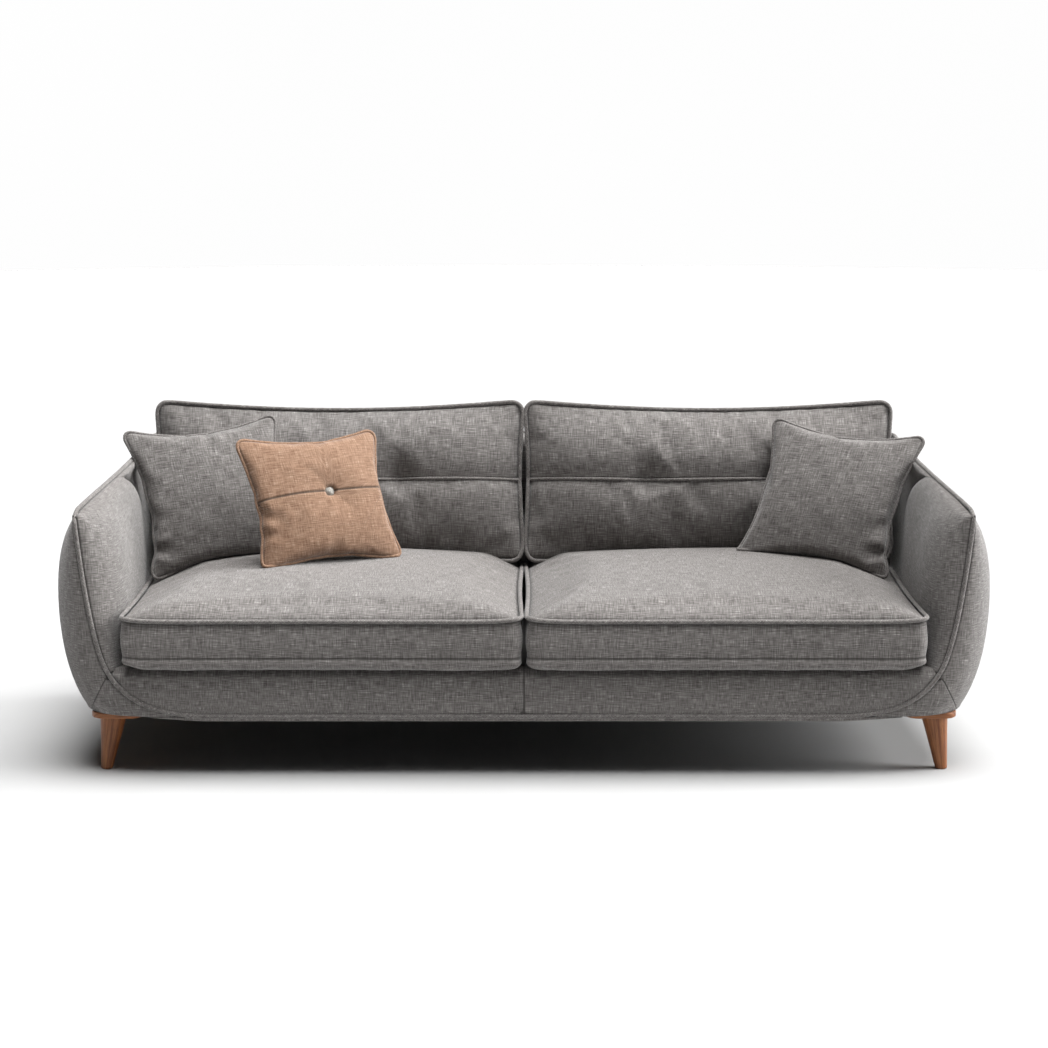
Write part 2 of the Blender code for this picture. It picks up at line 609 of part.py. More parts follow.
def make_back_covers(shop):
    """The inner back pad, which rolls over the top rail, and the flat outer back."""
    half = INNER - TOUCH - 0.001
    low, high = DECK_TOP, ARM_REAR_HEIGHT - 0.3 * PIPING_ROOM
    roll = 0.030
    path = [(back_face(low), low + TOUCH)]
    z_roll = high - roll + roll * sin(BACK_LEAN)
    path += [(back_face(z), z) for z in np.linspace(low + 0.1, z_roll, 4)]
    centre = (back_face(z_roll) + roll * cos(BACK_LEAN), high - roll)
    for angle in np.linspace(BACK_LEAN, pi / 2, 5)[1:]:
        path.append((centre[0] - roll * cos(angle), centre[1] + roll * sin(angle)))
    path.append((REAR - BACK_PIPING_IN - PIPING_RADIUS, high))
    rows = []
    for k in np.linspace(-1, 1, 5):
        row = [(k * half, y, z) for y, z in path]
        row[-1] = (k * (half - 0.055), *path[-1])
        rows.append(row)
    sheet(shop, "inner_back_pad", rows, PAD, "grey_fabric", flip=True, thin=("high",))
    rows = []
    for share in np.linspace(0, 1, 8):
        x_edge, z = side_profile(CORNER_AT, share)
        x_edge -= 0.075 + 0.002
        rows.append([(x_edge * k, rear_y(share), z - PIPING_ROOM * share) for k in np.linspace(-1, 1, 5)])
    sheet(shop, "outer_back_cover", rows, COVER, "grey_fabric", flip=True, thin=("first", "last"))


def make_piping(shop):
    """One cord runs over both arms and under the front, and a second one closes the top of the back."""
    half = [(0.0, FACE, PIPING_LOW), (INNER * 0.42, FACE, PIPING_LOW)]
    half += [(x, FACE, z) for x, z in bezier(CORNER_CURVE, np.linspace(0, 1, 9))]
    half += [(x, FACE, z) for x, z in bezier(SIDE_CURVE, np.linspace(0, 0.965, 8))[1:]]
    half.append((INNER + 0.0992, FACE + 0.007, SHOULDER_HEIGHT + 0.001))
    half += [tuple(p) for p in bezier(TOP_CURVE, np.linspace(0.02, 1, 12))]
    rear_corner = (INNER - 0.052, REAR - BACK_PIPING_IN, ARM_REAR_HEIGHT)
    half.append((INNER + 0.008, REAR - 0.028, ARM_REAR_HEIGHT))
    half.append(rear_corner)
    points = [(-x, y, z) for x, y, z in reversed(half)] + half[1:]
    tube(shop, "body_piping", points, PIPING_RADIUS, "grey_fabric")
    end = rear_corner[0] - 0.0045
    tube(shop, "back_piping", [(-end, *rear_corner[1:]), (end, *rear_corner[1:])], PIPING_RADIUS, "grey_fabric")


# ---- Cushions ---------------------------------------------------------------------------------------------
def seat_height(a, b):
    """Height of a seat cushion's top above its edge, a and b running from -1 to 1 across and back."""
    back = b - 0.25 * (1 - b * b)
    return SEAT_CROWN * (1 - abs(a) ** 3) * (1 - abs(back) ** 2.5)


def make_seat_cushion(shop, name, side):
    x_in, x_out = SEAT_GAP, INNER - SIDE_GAP
    y_front, y_rear = FRONT, REAR - SEAT_CUSHION_REAR
    middle = Vector((side * (x_in + x_out) / 2, (y_front + y_rear) / 2, CUSHION_BOTTOM))
    half = Vector(((x_out - x_in) / 2, (y_rear - y_front) / 2, SEAT_CUSHION_EDGE / 2))

    def shape(a, b, c):
        tuck = 0.012 * abs(c) ** 3
        x = a * (half.x - tuck * abs(a) ** 6)
        y = b * (half.y - tuck * abs(b) ** 6)
        z = (c + 1) * half.z
        if c > 0.99:
            z += seat_height(a, b)
        elif c < -0.99:
            z += 0.020 * max(abs(a), abs(b)) ** 6
        return Vector((x, y, z))

    mesh = soft_box("seat_cushion_" + name, shape, (8, 8, 4))
    shop.add("seat_cushion_" + name, mesh, "grey_fabric", Matrix.Translation(middle))


def make_back_cushion(shop, name, side):
    x_in, x_out = SEAT_GAP, INNER - SIDE_GAP
    height, thick = BACK_CUSHION_HEIGHT, BACK_CUSHION_THICKNESS
    rear_bottom = Vector((side * (x_in + x_out) / 2, 0, CUSHION_BOTTOM + SEAT_CUSHION_EDGE + 0.036))
    rear_bottom.y = back_face(rear_bottom.z) - TOUCH / cos(BACK_LEAN)
    leaning = Matrix.Translation(rear_bottom) @ Matrix.Rotation(-BACK_LEAN, 4, "X")

    def shape(a, b, c):
        tuck = 0.030 * abs(b) ** 3
        x = a * ((x_out - x_in) / 2 - tuck * abs(a) ** 8)
        z = height / 2 + c * (height / 2 - tuck * abs(c) ** 8)
        return Vector((x, (b - 1) * thick / 2, z))

    mesh = soft_box("back_cushion_" + name, shape, (8, 4, 6))
    shop.add("back_cushion_" + name, mesh, "grey_fabric", leaning)


def pillow_mesh(name, width, height, thickness):
    """A knife-edge cushion: fullest in the middle, thin at the edges, with sides that pull in between corners."""
    rim = 0.004

    def shape(a, b, c):
        x = a * width / 2 * (1 - 0.045 * (1 - b * b) * a * a)
        z = c * height / 2 * (1 - 0.045 * (1 - a * a) * c * c)
        full = ((1 - a ** 4) * (1 - c ** 4)) ** 0.62
        return Vector((x, b * (rim + (thickness / 2 - rim) * full), z))

    return soft_box(name, shape, (10, 1, 10))


def facing(middle, right, up):
    """A matrix whose X runs along right, and whose -Y is the face that a sitter sees."""
    x = Vector(right).normalized()
    y = Vector(up).cross(x).normalized()
    z = x.cross(y)
    turned = Matrix((x, y, z)).transposed().to_4x4()
    return Matrix.Translation(middle) @ turned


SCATTER_Y = back_face(CUSHION_BOTTOM + SEAT_CUSHION_EDGE) - BACK_CUSHION_THICKNESS - 0.0445
SCATTER = {
    # name: (width, height, thickness, finish, seat cushion, middle's x and y, right, up)
    "scatter_left": (0.400, 0.372, SCATTER_THICKNESS, "grey_fabric", "seat_cushion_left",
                     (-(INNER - 0.188), SCATTER_Y), (0.345, 0.105, 0.010), (-0.045, 0.085, 0.345)),
    "scatter_right": (0.400, 0.372, SCATTER_THICKNESS, "grey_fabric", "seat_cushion_right",
                      (INNER - 0.193, SCATTER_Y), (0.380, -0.115, -0.020), (0.050, 0.085, 0.345)),
    "scatter_tan": (0.365, 0.350, TAN_THICKNESS, "tan_fabric", "seat_cushion_left",
                    (-(INNER - 0.456), SCATTER_Y - 0.107), (0.350, 0.085, 0.012), (-0.060, 0.100, 0.335)),
}


def world_tree(mesh, matrix):
    """The mesh's points in the world, and a search tree of its faces."""
    points = [matrix @ vert.co for vert in mesh.vertices]
    return points, BVHTree.FromPolygons(points, [tuple(face.vertices) for face in mesh.polygons])


def drop_onto(upper, upper_place, lower, lower_place):
    """How far the upper mesh can come straight down before it is TOUCH clear of the lower one."""
    upper_points, upper_tree = world_tree(upper, upper_place)
    lower_points, lower_tree = world_tree(lower, lower_place)
    down = Vector((0, 0, -1))
    room = []
    for points, tree, way in ((upper_points, lower_tree, down), (lower_points, upper_tree, -down)):
        for point in points:
            distance = tree.ray_cast(point, way)[3]
            if distance is not None:
                room.append(distance)
    return min(room) - CUSHION_TOUCH


def make_scatter(shop):
    """Each scatter cushion comes straight down until it rests on its seat cushion."""
    for name, (width, height, thickness, finish, seat, middle, right, up) in SCATTER.items():
        place = facing((*middle, CUSHION_BOTTOM + 1), right, up)
        mesh = pillow_mesh(name, width, height, thickness)
        below = shop.parts.objects[seat]
        drop = drop_onto(mesh, place, below.data, below.matrix_world)
        place = Matrix.Translation((0, 0, -drop)) @ place
        shop.add(name, mesh, finish, place)
        if name == "scatter_tan":
            mesh = cylinder_mesh("tan_button", BUTTON_RADIUS, 0.006, 16)
            front = Matrix.Translation((0, -thickness / 2 - TOUCH, 0)) @ Matrix.Rotation(pi / 2, 4, "X")
            bevel(shop.add("tan_button", mesh, "button_fabric", place @ front), 0.002)


def main():
    shop = Workshop()
    for name, side in SIDES:
        make_leg(shop, "front_" + name, side, -1)
        make_leg(shop, "rear_" + name, side, 1)
        make_arm_frame(shop, name, side)
        make_arm_covers(shop, name, side)
        make_seat_cushion(shop, name, side)
        make_back_cushion(shop, name, side)
    make_base(shop)
    make_springs(shop)
    make_back_frame(shop)
    make_front_cover(shop)
    make_back_covers(shop)
    make_piping(shop)
    make_scatter(shop)


main()
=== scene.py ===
"""The sofa's looks on its CAD frame: soft forms, woven fabric, piping, turned legs and a pale studio."""

import json
import math
import bpy
import numpy as np
from mathutils import Matrix, Vector
from mathutils.bvhtree import BVHTree

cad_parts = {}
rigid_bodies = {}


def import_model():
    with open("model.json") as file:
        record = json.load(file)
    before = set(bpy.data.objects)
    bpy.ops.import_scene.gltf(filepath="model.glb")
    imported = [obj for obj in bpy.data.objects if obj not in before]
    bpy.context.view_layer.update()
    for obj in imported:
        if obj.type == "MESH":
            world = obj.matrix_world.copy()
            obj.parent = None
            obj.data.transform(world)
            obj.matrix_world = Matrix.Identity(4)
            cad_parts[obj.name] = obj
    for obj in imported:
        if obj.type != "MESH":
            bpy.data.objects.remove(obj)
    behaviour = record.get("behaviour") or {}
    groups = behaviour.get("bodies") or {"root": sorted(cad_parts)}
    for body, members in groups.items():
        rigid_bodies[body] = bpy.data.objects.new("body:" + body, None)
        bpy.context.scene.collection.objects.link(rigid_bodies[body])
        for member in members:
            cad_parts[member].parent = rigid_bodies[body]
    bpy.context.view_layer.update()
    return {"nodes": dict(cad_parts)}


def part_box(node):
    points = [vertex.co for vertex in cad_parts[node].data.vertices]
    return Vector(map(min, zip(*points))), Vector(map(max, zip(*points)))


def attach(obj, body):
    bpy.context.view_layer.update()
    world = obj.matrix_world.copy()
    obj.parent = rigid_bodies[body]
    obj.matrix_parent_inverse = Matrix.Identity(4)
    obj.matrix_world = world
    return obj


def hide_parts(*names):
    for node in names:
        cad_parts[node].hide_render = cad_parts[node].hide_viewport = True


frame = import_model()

# ---- Sizes in metres, read from the CAD frame ----
LOW, HIGH = 0, 1
ARM_BOX, SEAT_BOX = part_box("outer_arm_cover_right"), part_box("seat_cushion_right")
OUTER, BOTTOM = ARM_BOX[HIGH].x, ARM_BOX[LOW].z
INNER = SEAT_BOX[HIGH].x + 0.006      # inner face of the arm
SEAT_IN, FRONT, SEAT_LOW = SEAT_BOX[LOW]
SEAT_REAR = SEAT_BOX[HIGH].y
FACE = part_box("front_cover")[LOW].y
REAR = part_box("outer_back_cover")[HIGH].y
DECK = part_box("seat_deck")[HIGH].z
SHOULDER = BOTTOM + 0.4940           # top of the arm at its front
ARM_REAR = BOTTOM + 0.5654           # top of the arm at its rear
LEAN = math.radians(12)
BACK_FOOT = REAR - 0.190             # front of the inner back at the deck
WIDEST_AT = FRONT + 0.275            # the arm's outside turns from the front to the side before this
CORNER_AT = REAR - 0.095             # and from the side to the rear after this
PIPE = 0.0054                        # radius of the piping
PIPE_LOW = BOTTOM + 0.0015
PIPE_ROOM = 0.0030                   # piping centre line to the edges of the panels it joins
PANEL = 0.004                        # thickness of a covered panel's edge
SIDES = (("left", -1), ("right", 1))
LINKED = bpy.context.scene.collection.objects


def back_face(z):
    """Y of the back pad's front at height z."""
    return BACK_FOOT + (z - DECK) * math.tan(LEAN)


# ---- Node helpers ----
class Nodes:
    """Writes a material's nodes with short calls. Each call returns an output socket."""

    def __init__(self, name):
        self.material = bpy.data.materials.new(name)
        self.material.use_nodes = True
        self.tree = self.material.node_tree
        self.shader = self.tree.nodes["Principled BSDF"]

    def put(self, kind, inputs=(), **settings):
        node = self.tree.nodes.new(kind)
        for key, value in settings.items():
            setattr(node, key, value)
        for key, value in dict(inputs).items():
            self.join(value, node.inputs[key])
        return node

    def join(self, value, socket):
        if isinstance(value, bpy.types.NodeSocket):
            self.tree.links.new(value, socket)
        else:
            socket.default_value = value

    def place(self):
        return self.put("ShaderNodeTexCoord").outputs["Object"]

    def math(self, operation, a, b=0.0):
        return self.put("ShaderNodeMath", {0: a, 1: b}, operation=operation).outputs[0]

    def noise(self, vector, detail=2.0, roughness=0.5, distortion=0.0):
        node = self.put("ShaderNodeTexNoise", {"Vector": vector, "Scale": 1.0, "Detail": detail,
                                               "Roughness": roughness, "Distortion": distortion})
        return node.outputs["Fac"]

    def stretch(self, vector, scale, offset=(0, 0, 0)):
        inputs = {"Vector": vector, "Scale": scale, "Location": offset}
        return self.put("ShaderNodeMapping", inputs).outputs[0]

    def ramp(self, value, low, high, to_low=0.0, to_high=1.0):
        node = self.put("ShaderNodeMapRange", {"Value": value, "From Min": low, "From Max": high,
                                               "To Min": to_low, "To Max": to_high},
                        interpolation_type="SMOOTHSTEP")
        return node.outputs[0]

    def mix(self, factor, a, b):
        node = self.put("ShaderNodeMix", data_type="RGBA")
        self.join(factor, node.inputs[0])
        self.join(a, node.inputs[6])
        self.join(b, node.inputs[7])
        return node.outputs[2]

    def bump(self, height, distance, strength):
        inputs = {"Height": height, "Distance": distance, "Strength": strength}
        return self.put("ShaderNodeBump", inputs).outputs[0]

    def finish(self, colour, roughness, normal, **fixed):
        self.join(colour, self.shader.inputs["Base Color"])
        self.join(roughness, self.shader.inputs["Roughness"])
        if normal is not None:
            self.join(normal, self.shader.inputs["Normal"])
        for key, value in fixed.items():
            self.shader.inputs[key.replace("_", " ")].default_value = value
        return self.material


def rgb(*values):
    return (*values, 1.0)


# ---- Materials ----
THREAD_PITCH = 0.0019
# (share, scale, offset, detail) of the thick and fine threads, weft before warp
THREADS = ((0.42, (30, 430, 1), (0, 0, 0), 1.0), (0.36, (430, 30, 1), (7, 3, 0), 1.0),
           (0.12, (80, 1150, 1), (1, 9, 0), 0.0), (0.10, (1150, 80, 1), (5, 2, 0), 0.0))
SEAM_SHADE, SEAM_WIDE = 0.0042, 0.0060       # half widths of the painted shade line along a seam and of its groove


def woven(name, dark, middle, light, seams=False, turn=0.0, sheen=0.25):
    """Melange plain weave on UVs in metres: dark ground, light slub threads both ways, and sewn seams with
    painted shade along them.
    """
    n = Nodes(name)
    uv = n.put("ShaderNodeUVMap").outputs[0]
    if turn:
        uv = n.put("ShaderNodeVectorRotate", {"Vector": uv, "Angle": turn}, rotation_type="Z_AXIS").outputs[0]
    threads = 0.0
    for share, scale, offset, detail in THREADS:
        fibre = n.noise(n.stretch(uv, scale, offset), detail=detail, roughness=0.55)
        threads = n.math("ADD", n.math("MULTIPLY", fibre, share), threads)
    patch = n.noise(n.stretch(uv, (11, 11, 1), (2, 2, 0)))
    colour = n.mix(n.ramp(threads, 0.52, 0.72), n.mix(n.ramp(threads, 0.34, 0.56), dark, middle), light)
    colour = n.mix(n.ramp(patch, 0.35, 0.70, 0.0, 0.10), colour, dark)
    parts = n.put("ShaderNodeSeparateXYZ", {"Vector": uv})
    across, along = (n.math("SINE", n.math("MULTIPLY", parts.outputs[k], 2 * math.pi / THREAD_PITCH))
                     for k in (0, 1))
    weave = n.math("MULTIPLY", across, along)
    height = n.math("ADD", n.math("MULTIPLY", weave, 0.30), n.math("MULTIPLY", threads, 2.2))
    # painted shade: the weave's low points between the threads are darkened
    colour = n.mix(n.ramp(weave, -1.0, 0.4, 0.14, 0.0), colour, rgb(0.01, 0.01, 0.01))
    if seams:
        away = n.math("ABSOLUTE", n.put("ShaderNodeAttribute", attribute_name="seam").outputs["Fac"])
        # painted shade: near each seam the colour darkens towards near black, standing in for the shade in its
        # groove
        groove = n.ramp(away, 0.0006, SEAM_SHADE, 1.0, 0.0)
        colour = n.mix(n.math("MULTIPLY", groove, 0.72), colour, rgb(0.02, 0.018, 0.016))
        height = n.math("SUBTRACT", height, n.math("MULTIPLY", n.ramp(away, 0.0, SEAM_WIDE, 1.0, 0.0), 5.0))
    return n.finish(colour, n.ramp(threads, 0.3, 0.7, 0.97, 0.82), n.bump(height, 0.0009, 0.55),
                    Sheen_Weight=sheen, Sheen_Roughness=0.45, Specular_IOR_Level=0.22)


GREY = (rgb(0.078, 0.070, 0.066), rgb(0.186, 0.174, 0.166), rgb(0.420, 0.402, 0.388))
TAN = (rgb(0.150, 0.080, 0.048), rgb(0.282, 0.172, 0.112), rgb(0.440, 0.320, 0.238))


def wood(name, dark, light):
    """Stained, lacquered hardwood whose grain runs along V, in metres."""
    n = Nodes(name)
    uv = n.put("ShaderNodeUVMap").outputs[0]
    sway = n.math("MULTIPLY", n.noise(n.stretch(uv, (14, 4, 1))), 0.010)
    wander = n.put("ShaderNodeCombineXYZ", {"X": sway})
    shifted = n.put("ShaderNodeVectorMath", {0: uv, 1: wander.outputs[0]}, operation="ADD").outputs[0]
    rings = n.noise(n.stretch(shifted, (150, 7, 1)), detail=3.0, roughness=0.6)
    pores = n.noise(n.stretch(shifted, (900, 26, 1)), detail=2.0, roughness=0.7)
    tone = n.noise(n.stretch(uv, (20, 10, 1)), detail=1.0)
    colour = n.mix(n.ramp(rings, 0.33, 0.66), dark, light)
    colour = n.mix(n.ramp(tone, 0.3, 0.8, 0.0, 0.35), colour, dark)
    pore = n.ramp(pores, 0.30, 0.44, 0.75, 0.0)
    colour = n.mix(pore, colour, rgb(dark[0] * 0.3, dark[1] * 0.3, dark[2] * 0.3))
    height = n.math("SUBTRACT", n.math("MULTIPLY", rings, 0.6), pore)
    return n.finish(colour, n.ramp(rings, 0.3, 0.7, 0.52, 0.38), n.bump(height, 0.0003, 0.5),
                    Coat_Weight=0.10, Coat_Roughness=0.28, Specular_IOR_Level=0.3)


def frame_timber(name):
    """Sawn softwood of the hidden frame, on object coordinates."""
    n = Nodes(name)
    place = n.place()
    rings = n.noise(n.stretch(place, (6, 60, 90)), detail=3.0, distortion=0.4)
    fibre = n.noise(n.stretch(place, (20, 600, 600)), detail=1.0)
    colour = n.mix(n.ramp(rings, 0.35, 0.65), rgb(0.50, 0.33, 0.17), rgb(0.72, 0.54, 0.33))
    return n.finish(colour, n.ramp(fibre, 0.2, 0.8, 0.6, 0.85), n.bump(fibre, 0.0006, 0.5))


def lining(name, dark, light, scale=900.0):
    """Black non-woven or webbing, with a fine fibre texture on object coordinates."""
    n = Nodes(name)
    place = n.place()
    fibre = n.noise(n.stretch(place, (scale, scale * 0.3, scale)))
    blotch = n.noise(n.stretch(place, (12, 12, 12)))
    colour = n.mix(n.ramp(fibre, 0.3, 0.7), dark, light)
    colour = n.mix(n.ramp(blotch, 0.4, 0.7, 0.0, 0.3), colour, light)
    return n.finish(colour, n.ramp(fibre, 0.2, 0.8, 0.85, 0.98), n.bump(fibre, 0.0008, 0.6), Sheen_Weight=0.1)


def steel(name):
    n = Nodes(name)
    place = n.place()
    drawn = n.noise(n.stretch(place, (500, 40, 500)))
    colour = n.mix(n.ramp(drawn, 0.3, 0.7), rgb(0.32, 0.32, 0.33), rgb(0.55, 0.55, 0.56))
    return n.finish(colour, n.ramp(drawn, 0.2, 0.8, 0.28, 0.5), n.bump(drawn, 0.0002, 0.4), Metallic=1.0)


MATERIALS = {
    "grey": woven("grey_weave", *GREY),
    "grey_seamed": woven("grey_weave_seamed", *GREY, seams=True),
    "grey_piping": woven("grey_piping", *GREY, turn=math.radians(45)),
    "tan_seamed": woven("tan_weave", *TAN, seams=True, sheen=0.2),
    "tan_piping": woven("tan_piping", *TAN, turn=math.radians(45), sheen=0.2),
    "button": woven("button_weave", rgb(0.20, 0.185, 0.165), rgb(0.40, 0.38, 0.345), rgb(0.62, 0.60, 0.56)),
    "leg": wood("leg_wood", rgb(0.150, 0.047, 0.014), rgb(0.340, 0.130, 0.042)),
    "timber": frame_timber("frame_timber"),
    "deck": lining("deck_cloth", rgb(0.030, 0.029, 0.028), rgb(0.075, 0.072, 0.070)),
    "dust": lining("dust_cloth", rgb(0.012, 0.012, 0.012), rgb(0.040, 0.040, 0.040), 1400.0),
    "webbing": lining("webbing", rgb(0.05, 0.045, 0.04), rgb(0.16, 0.14, 0.12), 500.0),
    "steel": steel("spring_steel"),
}


# ---- Mesh helpers ----
def arc_lengths(points):
    steps = np.linalg.norm(np.diff(points, axis=0), axis=1)
    return np.concatenate([[0.0], np.cumsum(steps)])


def grid_uv(points):
    """UVs in metres: U along each row from its middle, V down each column from its middle."""
    rows, columns = points.shape[:2]
    uv = np.zeros((rows, columns, 2))
    for i in range(rows):
        uv[i, :, 0] = arc_lengths(points[i])
    for j in range(columns):
        uv[:, j, 1] = arc_lengths(points[:, j])
    uv[..., 0] -= uv[:, columns // 2, 0][:, None]
    uv[..., 1] -= uv[rows // 2, :, 1][None, :]
    return uv


def mesh_from(name, points, faces, corner_uv, material, seam=None):
    mesh = bpy.data.meshes.new(name)
    mesh.from_pydata(points.tolist(), [], faces)
    mesh.materials.append(MATERIALS[material])
    layer = mesh.uv_layers.new(name="UVMap")
    layer.uv.foreach_set("vector", np.asarray(corner_uv, np.float32).ravel())
    # the seam attribute holds each point's distance from a seam; the woven material paints shade along it
    if seam is not None:
        mesh.attributes.new("seam", "FLOAT", "POINT").data.foreach_set("value", np.asarray(seam, np.float32))
    mesh.shade_smooth()
    obj = bpy.data.objects.new(name, mesh)
    LINKED.link(obj)
    return obj


def grid_faces(rows, columns):
    corners = (0, 1, columns + 1, columns)
    return [tuple(i * columns + j + c for c in corners) for i in range(rows - 1) for j in range(columns - 1)]


def loft(count, around, run, girth):
    """Quads between rings of points, with UVs in metres along and round them.

    One more run than there are rings joins the last ring to the first.
    """
    faces, corner = [], []
    for i in range(len(run) - 1):
        after = (i + 1) % count
        for k in range(around):
            m = (k + 1) % around
            faces.append((i * around + k, i * around + m, after * around + m, after * around + k))
            v0, v1 = girth * k / around, girth * (k + 1) / around
            corner += [(run[i], v0), (run[i], v1), (run[i + 1], v1), (run[i + 1], v0)]
    return faces, corner


def end_faces(count, around):
    return [tuple(range(around))[::-1], tuple(range((count - 1) * around, count * around))]


def wrap_uv(points, front, rear, outside):
    """UVs in metres of a cover that turns from the front to the side, and for the outside on to the rear."""
    x, y, z = np.abs(points[..., 0]), points[..., 1], points[..., 2]
    ahead = np.clip(1 - (y - FACE) / (front - FACE), 0, 1)
    behind = np.clip((y - rear) / (REAR - rear), 0, 1) if outside else 0.0
    ahead = ahead * ahead * (3 - 2 * ahead)
    over = x - (OUTER - 0.03 if outside else INNER)
    if outside:
        return np.stack([y + over * (ahead - behind), z], -1)
    return np.stack([y - over * ahead, z + over * (1 - ahead)], -1)


def sheet(name, points, material, flip=False, thick=0.0, seam=None, uv=None):
    """A panel of fabric through a grid of points."""
    points = np.asarray(points, float)
    rows, columns = points.shape[:2]
    if uv is None:
        uv = grid_uv(points)
    faces = grid_faces(rows, columns)
    if flip:
        faces = [face[::-1] for face in faces]
    flat = uv.reshape(-1, 2)
    corner = [flat[k] for face in faces for k in face]
    seam = None if seam is None else np.ravel(seam)
    obj = mesh_from(name, points.reshape(-1, 3), faces, corner, material, seam)
    if thick:
        solid = obj.modifiers.new("thickness", "SOLIDIFY")
        solid.thickness = thick
        solid.offset = -1
    return obj


def tube(name, path, radius, material, closed=False, sides=10, wobble=0.03):
    """A cord along the path, its ends closed, with UVs in metres along and round it."""
    path = np.asarray(path, float)
    count = len(path)
    ahead = np.roll(path, -1, 0) - np.roll(path, 1, 0) if closed else np.gradient(path, axis=0)
    ahead /= np.linalg.norm(ahead, axis=1)[:, None] + 1e-12
    up = np.cross(ahead[0], (0.3, 0.5, 0.81))
    up /= np.linalg.norm(up)
    ups = []
    for tangent in ahead:
        up = up - tangent * (up @ tangent)
        up /= np.linalg.norm(up)
        ups.append(up)
    ups = np.array(ups)
    if closed:
        last = ups[-1] - ahead[0] * (ups[-1] @ ahead[0])
        turn = math.atan2(np.cross(last, ups[0]) @ ahead[0], last @ ups[0])
        angles = np.arange(count) / count * turn
        ups = ups * np.cos(angles)[:, None] + np.cross(ahead, ups) * np.sin(angles)[:, None]
    sideways = np.cross(ahead, ups)
    run = arc_lengths(path)
    thickness = (radius * (1 + wobble * np.sin(run * 190) * np.sin(run * 67 + 1)))[:, None]
    points = np.stack([path + thickness * (ups * math.cos(angle) + sideways * math.sin(angle))
                       for angle in 2 * math.pi * np.arange(sides) / sides], 1).reshape(-1, 3)
    if closed:
        run = np.append(run, run[-1] + np.linalg.norm(path[0] - path[-1]))
    faces, corner = loft(count, sides, run, 2 * math.pi * radius)
    if not closed:
        faces += end_faces(count, sides)
        corner += [(0, 0)] * 2 * sides
    return mesh_from(name, points, faces, corner, material)


def declare(piece, nodes, body):
    """Hides the CAD nodes a piece stands for and attaches the piece to the body that it rides on."""
    if nodes:
        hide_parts(*nodes)
    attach(piece, body)


def smooth_path(points, count, closed=False):
    """Evenly spaced points along a polyline."""
    points = np.asarray(points, float)
    if closed:
        points = np.vstack([points, points[:1]])
    run = arc_lengths(points)
    even = np.linspace(0, run[-1], count + 1 if closed else count)
    path = np.stack([np.interp(even, run, points[:, k]) for k in range(3)], 1)
    return path[:-1] if closed else path


def bezier(points, t):
    t = np.asarray(t, float)[..., None]
    p0, p1, p2, p3 = (np.asarray(p, float) for p in points)
    return (1 - t) ** 3 * p0 + 3 * (1 - t) ** 2 * t * p1 + 3 * (1 - t) * t ** 2 * p2 + t ** 3 * p3


def mirrored(points, side):
    points = np.array(points, float)
    points[..., 0] *= side
    return points


def waves(x, y, seed, size):
    """Gentle irregular waves, about 1 high, that are the same on every run."""
    rng = np.random.default_rng(seed)
    total = np.zeros(np.broadcast(x, y).shape)
    for _ in range(7):
        angle, phase = rng.uniform(0, 2 * math.pi, 2)
        pace = 2 * math.pi / (size * rng.uniform(0.6, 1.6))
        total += np.sin((x * math.cos(angle) + y * math.sin(angle)) * pace + phase)
    return total / 3.5


# ---- Body: the lines the covers follow ----
CORNER_CURVE = ((INNER - 0.216, PIPE_LOW), (INNER - 0.076, PIPE_LOW),
                (INNER - 0.001, PIPE_LOW + 0.045), (INNER + 0.034, PIPE_LOW + 0.120))
SIDE_CURVE = ((INNER + 0.034, PIPE_LOW + 0.120), (INNER + 0.064, PIPE_LOW + 0.184),
              (INNER + 0.086, SHOULDER - 0.134), (INNER + 0.099, SHOULDER))
TOP_CURVE = ((INNER + 0.099, FACE + 0.022, SHOULDER + 0.006), (INNER + 0.070, FACE + 0.170, SHOULDER + 0.034),
             (INNER + 0.030, FACE + 0.390, ARM_REAR - 0.020), (INNER + 0.024, REAR - 0.075, ARM_REAR))
FRONT_LINE = np.vstack([bezier(CORNER_CURVE, np.linspace(0, 1, 60))[:-1],
                        bezier(SIDE_CURVE, np.linspace(0, 1, 60))])
TOP_LINE = bezier(TOP_CURVE, np.linspace(0, 1, 90))


def front_x(z):
    return np.interp(z, FRONT_LINE[:, 1], FRONT_LINE[:, 0])


def top_xz(y):
    return np.interp(y, TOP_LINE[:, 1], TOP_LINE[:, 0]), np.interp(y, TOP_LINE[:, 1], TOP_LINE[:, 2])


def swell(share):
    return (1 - (1 - share) ** 3.4) * (1 - share ** 7)


def side_profile(y, share):
    """(x, z) arrays of the outer side at this Y, for shares from the bottom edge to the top piping."""
    along = np.clip((y - WIDEST_AT) / (CORNER_AT - WIDEST_AT), 0, 1)
    foot = OUTER - 0.065 - 0.035 * along
    x_top, z_top = top_xz(y)
    s = np.linspace(0.3, 0.7, 21)
    bulge = np.min((OUTER - 0.030 * along - foot - (x_top - foot) * s) / swell(s))
    return foot + (x_top - foot) * share + bulge * swell(share), BOTTOM + (z_top - BOTTOM) * share


def rear_y(share):
    return REAR - 0.030 * (1 - share) ** 1.5


